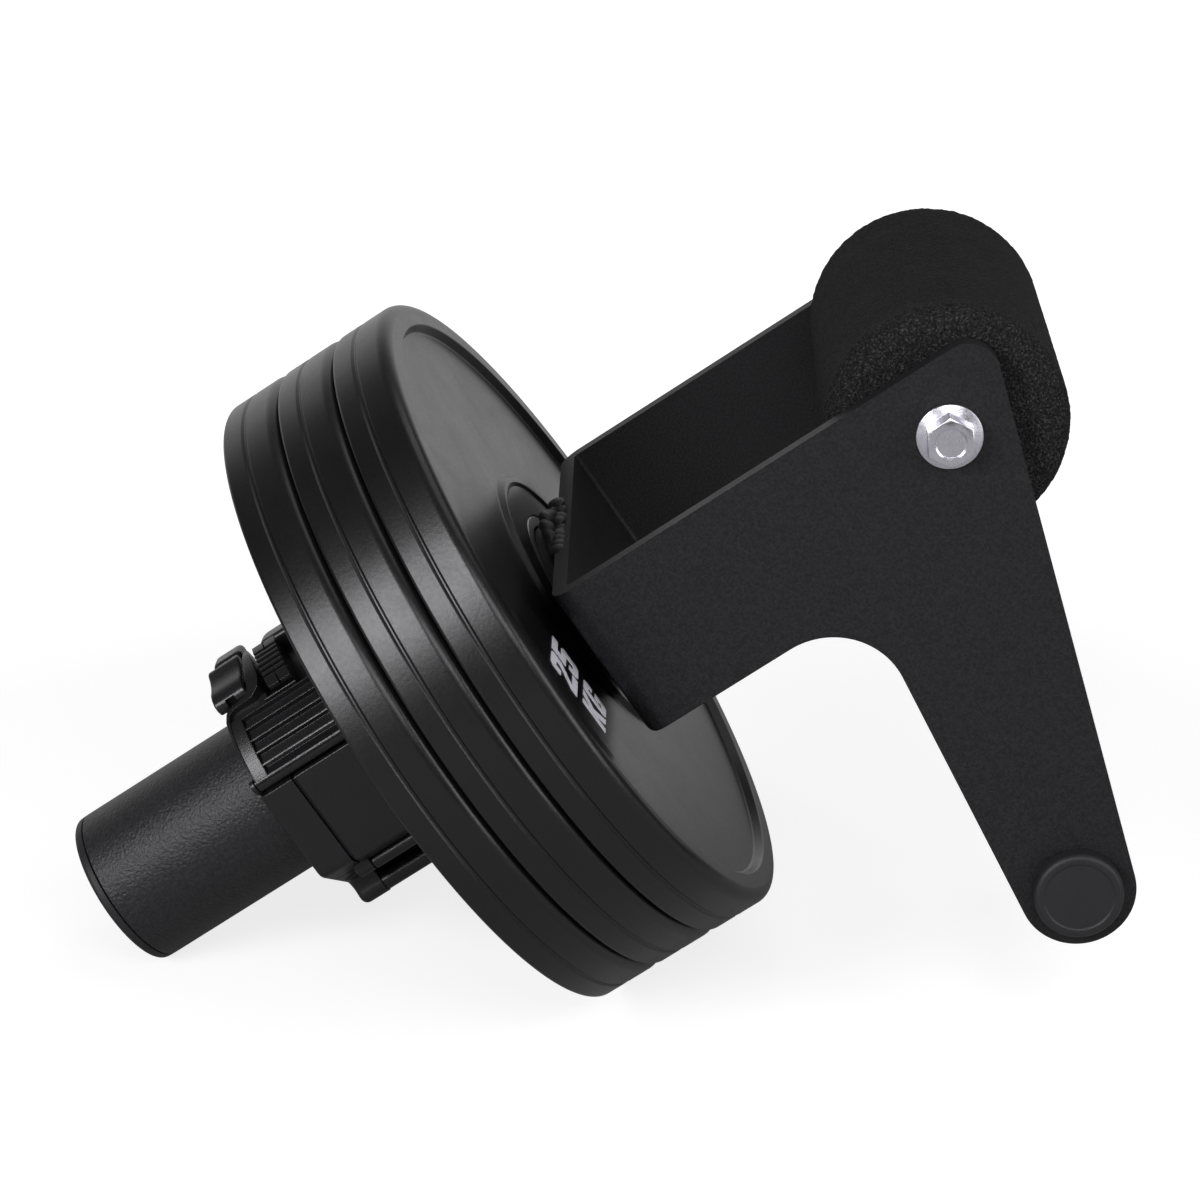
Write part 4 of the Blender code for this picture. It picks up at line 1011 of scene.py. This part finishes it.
def shellOutline(size):
    outer, radius, bore = size.outer, size.radius, size.bore
    step, end, ring = outer + size.ringWidth, outer + size.width, radius - size.ringDrop
    return softOutline([
        (outer, bore, 0.4), (outer, ring - 0.4, 1.4), (step - 0.5, radius - 0.2, 0.3),
        (step - 0.4, radius - 1.4, 0.1), (step + 0.3, radius - 1.4, 0.1), (step + 0.4, radius, 0.35),
        (end, radius, 0.5), (end, bore, 0.4),
    ], 15.0)


def jawOutline(size, drop, fillet):
    # round at the top, then the flat side, the corner and the flat underside, all set in by the drop
    top, low = size.splitTop + size.halfGap, size.splitBottom - size.halfGap
    face = math.radians(size.underFace)
    side, under = size.wall - drop, size.underReach - drop
    corner = (-side, (under - side * math.sin(face)) / math.cos(face))
    foot = polar(under / math.cos(face - math.radians(low)), low)
    path = polarArc(size.radius - drop, top, 70.0)
    path += [(-side, size.wallTop - 0.34 * drop, 0.5), (*corner, fillet), foot]
    return softOutline(path + polarArc(size.bore, low, top), 9.0)


def lugOutline(size, drop):
    # a lug at the clamp's foot: a hollow fillet from the underside into a round nose
    low = size.splitBottom - size.halfGap
    nose = Vector(polar(size.radius + size.lugReach, size.splitBottom))
    face = math.radians(size.underFace)
    normal, along = Vector((-math.sin(face), math.cos(face))), Vector((math.cos(face), math.sin(face)))
    fillet, tip, root = size.lugFillet, size.lugRound, size.bore + 4.5
    level = size.underReach + fillet
    run = math.sqrt((tip + fillet) ** 2 - (level - nose.dot(normal)) ** 2)
    hollow = normal * level + along * (nose.dot(along) + run)
    toNose = math.atan2(nose.y - hollow.y, nose.x - hollow.x)
    first = math.atan2(-normal.y, -normal.x)
    inward = math.atan2(-nose.y, -nose.x) + 2.0 * math.pi
    points = [polar(root, size.lugRoot)] + arcAbout(hollow, fillet + drop, first, toNose, 12)
    points += arcAbout(nose, tip - drop, toNose + math.pi, inward, 24, 1)
    return points + [polar(root, low)]


def earOutline(size, angle, centre, radius, reach):
    # a hinge ear: a round end about its pin on a root that runs down into the shell
    root = size.bore + 5.0
    turn = 1.0 if reach > angle else -1.0
    start = math.atan2(centre[1], centre[0]) - turn * math.pi
    ends = arcAbout(centre, radius, start, start + turn * math.radians(240.0), 20)
    return [polar(root, reach), polar(root, angle)] + ends + [polar(size.radius - 0.2, reach)]


def clampSide(size):
    # the near side of the clamp in one skin, with its ring, groove and panel and the lugs at its foot
    outer, step, width = size.outer, size.ringWidth, size.width
    places = [
        (0.0, 2.0, 3.0), (0.12, 1.5, 3.0), (0.5, 1.05, 3.0), (1.1, 0.8, 3.0), (2.0, 0.68, 3.0),
        (step - 0.45, 0.15, 2.6), (step - 0.35, 0.3, 2.4), (step - 0.3, 1.4, 1.6), (step + 0.5, 1.4, 1.6),
        (step + 0.55, 0.3, 1.0), (step + 0.85, 0.0, 0.7), (width - 0.4, 0.0, 0.7), (width, 0.4, 0.7),
    ]
    side = lofted("clampSide", [
        (outer + place, jawOutline(size, drop, fillet)) for place, drop, fillet in places
    ])
    start, end = outer + size.lugStart, outer + size.lugEnd
    for near, far in ((start, start + size.lugWidth), (end - size.lugWidth, end)):
        rounds = ((0.0, 1.5), (0.15, 1.0), (0.6, 0.45), (1.3, 0.12), (2.0, 0.0))
        ends = [(near + place, drop) for place, drop in rounds] + [(far - 0.4, 0.0), (far, 0.4)]
        joined(side, lofted("lug", [(place, lugOutline(size, drop)) for place, drop in ends]))
    return side


def makeShells(size):
    outer, radius, turnAt = size.outer, size.radius, size.hingeAngle
    slack, split, pinGap = size.hingeGap, size.splitBottom, size.pinGap
    tip, groove, bore = size.hingeRound, size.hingeRound + gap, size.hingePin + pinGap
    hinge = polar(radius + size.hingeReach, turnAt)
    nose = polar(radius + size.lugReach, split)
    lever = polar(radius + size.leverReach, size.leverPivot)
    tab = polar(radius + size.tabReach, size.tabPivot)
    low = split + size.halfGap
    start, end = outer + size.hingeStart, outer + size.hingeEnd
    near, far = start + size.knuckle, end - size.knuckle

    # The body holds the far side, the foot below the hinge with its lugs, and the hinge's middle knuckle
    body = sweptSector("collarBody", shellOutline(size), low, size.splitTop - size.halfGap + 360.0)
    foot = clampSide(size)
    below = sector(size.cutInner, size.cutOuter, turnAt + slack, size.cutEnd)
    joined(foot, extruded("foot", below, clearLow, clearHigh), "INTERSECT")
    joined(body, foot)
    web = earOutline(size, low, nose, size.lugRound - 0.3, split + 15.0)
    lugInner = outer + size.lugStart + size.lugWidth - 1.5
    lugOuter = outer + size.lugEnd - size.lugWidth + 1.5
    joined(body, softBlock("web", web, lugInner, lugOuter))
    bored(body, hinge, groove, start - gap, near + gap, 36)
    bored(body, hinge, groove, far - gap, end + gap, 36)
    fixed = earOutline(size, turnAt + slack, hinge, tip, turnAt + 12.0)
    joined(body, softBlock("ear", fixed, near + gap, far - gap, 0.4))
    house = sector(radius - 2.0, radius + size.houseRise, size.houseStart, size.houseEnd)
    joined(body, softBlock("house", house, outer + size.houseFrom, outer + size.houseTo, 1.6, 4, 40.0))
    middle = outer + (size.tabFrom + size.tabTo) / 2.0
    tabEar = earOutline(size, size.tabPivot - 3.5, tab, size.tabEar, size.tabPivot + 3.5)
    joined(body, extruded("ear", tabEar, middle - 1.3, middle + 1.3))
    joined(body, extruded("tabPin", circle(tab, size.tabPin, 24), middle - 4.4, middle + 4.4))
    bored(body, hinge, bore, clearLow, clearHigh)
    finished(body, "collar", "collar_nylon", ["collar_body", "collar_tab_pin"])

    # The jaw is the clamp's near side above the hinge, with the outer knuckles and the lever's ears
    jaw = clampSide(size)
    above = sector(size.cutInner, size.cutOuter, turnAt - slack, size.cutEnd)
    joined(jaw, extruded("foot", above, clearLow, clearHigh), "DIFFERENCE")
    bored(jaw, hinge, groove, near, far, 36)
    swung = earOutline(size, turnAt - slack, hinge, tip, turnAt - 12.0)
    for first, last in ((start, near), (far, end)):
        joined(jaw, softBlock("ear", swung, first, last, 0.4))
    bored(jaw, hinge, bore, clearLow, clearHigh)
    ear = earOutline(size, size.leverPivot - 4.5, lever, size.leverRound, size.leverPivot + 4.5)
    for first in (outer + 0.1, outer + size.width - size.leverEar):
        joined(jaw, softBlock("ear", ear, first, first + size.leverEar - 0.1, 0.35))
    bored(jaw, lever, size.leverPin + pinGap, outer + 1.2, outer + 48.6)
    finished(jaw, "collar_jaw", "collar_nylon", ["collar_jaw"])


def makeCatch(size):
    # a toothed block: a flat at each end, thin teeth between them, a mould line down the middle
    outer, flat = size.outer, size.catchFlat
    base = size.radius + gap
    top = base + size.catchHeight
    start, end = size.catchStart, size.catchEnd
    first, last = outer + size.catchFrom, outer + size.catchTo
    middle = (first + last) / 2.0
    block = extruded("collarCatch", sector(base, top - 1.5, start, end), first, last)
    for low, high in ((start, start + flat), (end - flat, end)):
        for left, right in ((first, middle - 0.12), (middle + 0.12, last)):
            joined(block, softBlock("flat", sector(top - 2.6, top, low, high), left, right, 0.3))
    tooth = softBlock("tooth", sector(top - 2.6, top - 0.1, -0.85, 0.85), first, last, 0.3)
    step = (end - start - 2.0 * size.firstTooth) / (size.catchTeeth - 1)
    joined(block, repeated(
        "catchTeeth", tooth, "collar_grip", count=size.catchTeeth,
        first_angle=start + size.firstTooth, step_angle=step,
    ))
    for vert in block.data.vertices:
        angle = math.degrees(math.atan2(-vert.co.y, vert.co.z))
        vert.co.x += size.catchSlant * (angle - size.slantAt)
    finished(block, "collar", "collar_grip", ["collar_catch"])


def ribbon(name, stations, reach=42.0):
    # a bent guard: stations are (along, angle, low radius, high radius, low half, high half);
    # its run and its width are measured at one radius, the reach
    rings = []
    for index, (place, angle, low, high, lowHalf, highHalf) in enumerate(stations):
        before, after = stations[max(0, index - 1)], stations[min(len(stations) - 1, index + 1)]
        run = Vector((after[0] - before[0], math.radians(after[1] - before[1]) * reach)).normalized()
        side = Vector((run.y, -run.x))
        ring = []
        for radius, half in ((low, lowHalf), (high, highHalf), (high, -highHalf), (low, -lowHalf)):
            turn = angle + math.degrees(side.y * half / reach)
            ring.append((place + side.x * half, *polar(radius, turn)))
        rings.append(ring)
    return skinned(name, rings)


# The guard runs from the fin's tip down to its foot, turns out and follows the lever's outer edge
guardPath = [
    (13.6, 2.0, 40.6, 42.6, 0.6, 0.4), (13.7, 5.0, 40.0, 43.3, 1.3, 0.95),
    (14.1, 9.0, 39.6, 43.5, 1.5, 1.25), (14.5, 14.0, 39.4, 43.5, 1.75, 1.5),
    (14.8, 20.0, 39.2, 43.5, 2.0, 1.8), (14.9, 25.0, 39.0, 43.4, 2.3, 2.1),
    (14.2, 28.8, 38.8, 43.0, 2.3, 2.1), (12.4, 31.0, 38.4, 42.5, 1.9, 1.6),
    (10.2, 31.4, 38.0, 42.0, 1.5, 1.1), (7.8, 31.4, 37.6, 41.7, 1.3, 0.8),
    (5.4, 31.8, 37.4, 41.5, 1.2, 0.7), (3.6, 33.4, 37.2, 41.4, 1.2, 0.7),
    (2.7, 36.6, 37.0, 41.3, 1.0, 0.6), (2.4, 42.0, 36.9, 41.2, 0.8, 0.45),
    (2.3, 50.0, 36.9, 41.2, 0.6, 0.35), (2.3, 58.0, 36.9, 41.1, 0.5, 0.3),
    (2.3, 65.0, 37.2, 40.9, 0.5, 0.3),
]


def makeLever(size):
    outer, radius, tip, band = size.outer, size.radius, size.leverRound, size.ribBand
    low, top, foot = radius + size.leverUnder, size.leverTop, size.leverPivot - 4.5
    start, end = outer + size.leverEar + gap, outer + size.width - size.leverEar - gap
    pivot = polar(radius + size.leverReach, size.leverPivot)
    facing = math.atan2(pivot[1], pivot[0])
    knuckle = arcAbout(pivot, tip, facing - math.radians(20.0), facing + math.radians(150.0), 14)
    outline = polarArc(38.5, top, foot) + knuckle + polarArc(low, foot, top)
    piece = softBlock("collarLever", outline, start, end, 0.35)
    slat = [(38.1, -0.5), (40.4, -0.5), (40.4, 0.3), (38.75, 1.0), (39.75, 5.2), (38.1, 5.2)]
    rib = softBlock("rib", [polar(*point) for point in slat], start + 3.0, end - 0.5, 0.12, 2, 40.0)
    joined(piece, repeated(
        "leverRibs", rib, "collar_grip", count=size.ribs, first_angle=size.firstRib,
        step_angle=size.ribStep,
    ))
    for label, shape, first, last, width in (
        ("foot edge", (38.2, 41.6, 66.0, 67.5), start + 0.1, end - 0.1, 0.3),
        ("outer band", (38.0, 40.7, top + 0.3, 66.6), start + 0.2, start + band, 0.5),
        ("inner band", (38.0, 40.5, top + 0.4, 66.5), end - 2.6, end - 0.2, 0.5),
        ("shoulder", (low, 39.7, 31.2, top + 1.4), start + 1.6, outer + 16.6, 0.5),
        ("lip", (38.0, 41.3, 36.2, 37.1), outer + 15.8, outer + 27.2, 0.25),
    ):
        joined(piece, softBlock(label, sector(*shape), first, last, width))
    guard = ribbon("guard", [(outer + place, *rest) for place, *rest in guardPath])
    joined(piece, softened(guard, 0.3, 2, 40.0))
    bored(piece, pivot, size.leverPin + size.pinGap, clearLow, clearHigh)
    finished(piece, "collar_lever", "collar_grip", ["collar_lever"])


def makeTab(size):
    # release tab: a dished cover and a round bar behind it, rocking on a pin under the cover
    low, reach = size.radius + size.tabUnder, size.radius + size.tabReach
    at = size.tabPivot
    first, last = size.outer + size.tabFrom, size.outer + size.tabTo
    middle = (first + last) / 2.0
    cover = [
        (low, 5.0), (43.4, 5.0), (44.3, 6.4), (44.2, 8.6), (43.4, 11.5), (43.1, 15.0), (43.3, 18.5),
        (44.0, 22.0), (44.0, 25.0), (43.3, 28.0), (41.8, 29.5), (39.3, 29.6), (low, 27.5),
        (low, 20.0), (low, 12.0),
    ]
    piece = softBlock("collarTab", [polar(*point) for point in cover], first, last, 0.7, 3, 25.0)
    bar = sector(low + 1.0, 44.2, size.tabStart, 4.0)
    joined(piece, softBlock("bar", bar, first + 1.4, last + 0.4, 1.7, 4, 40.0))
    neck = sector(low + 0.4, 42.4, 0.0, 12.0)
    joined(piece, softBlock("neck", neck, first + 1.8, last - 0.8, 0.4, 2, 40.0))
    slot = sector(size.radius, reach + 2.0, at - 6.5, at + 12.0)
    joined(piece, extruded("slot", slot, middle - 1.6, middle + 1.6), "DIFFERENCE")
    bored(piece, polar(reach, at), size.tabPin + size.tabPinGap, first - 2.0, last + 2.0)
    finished(piece, "collar_tab", "collar_grip", ["collar_release_tab"])


for make in (makeShells, makeCatch, makeLever, makeTab):
    make(sizes(collar))
print("collar made")


# Finishes of the parts that keep their model shape

plainParts = {
    "roller_core_tube": "steel", "roller_bush_near": "bush", "roller_bush_far": "bush",
    "plate_inner_core": "iron", "plate_middle_core": "iron", "plate_outer_core": "iron",
    "collar_body_pad": "lining", "collar_jaw_pad": "lining",
    "collar_hinge_pin": "black steel", "collar_lever_pin": "black steel",
}
for node, paint in plainParts.items():
    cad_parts[node].material_slots[0].material = paints[paint].material

print("all parts finished")
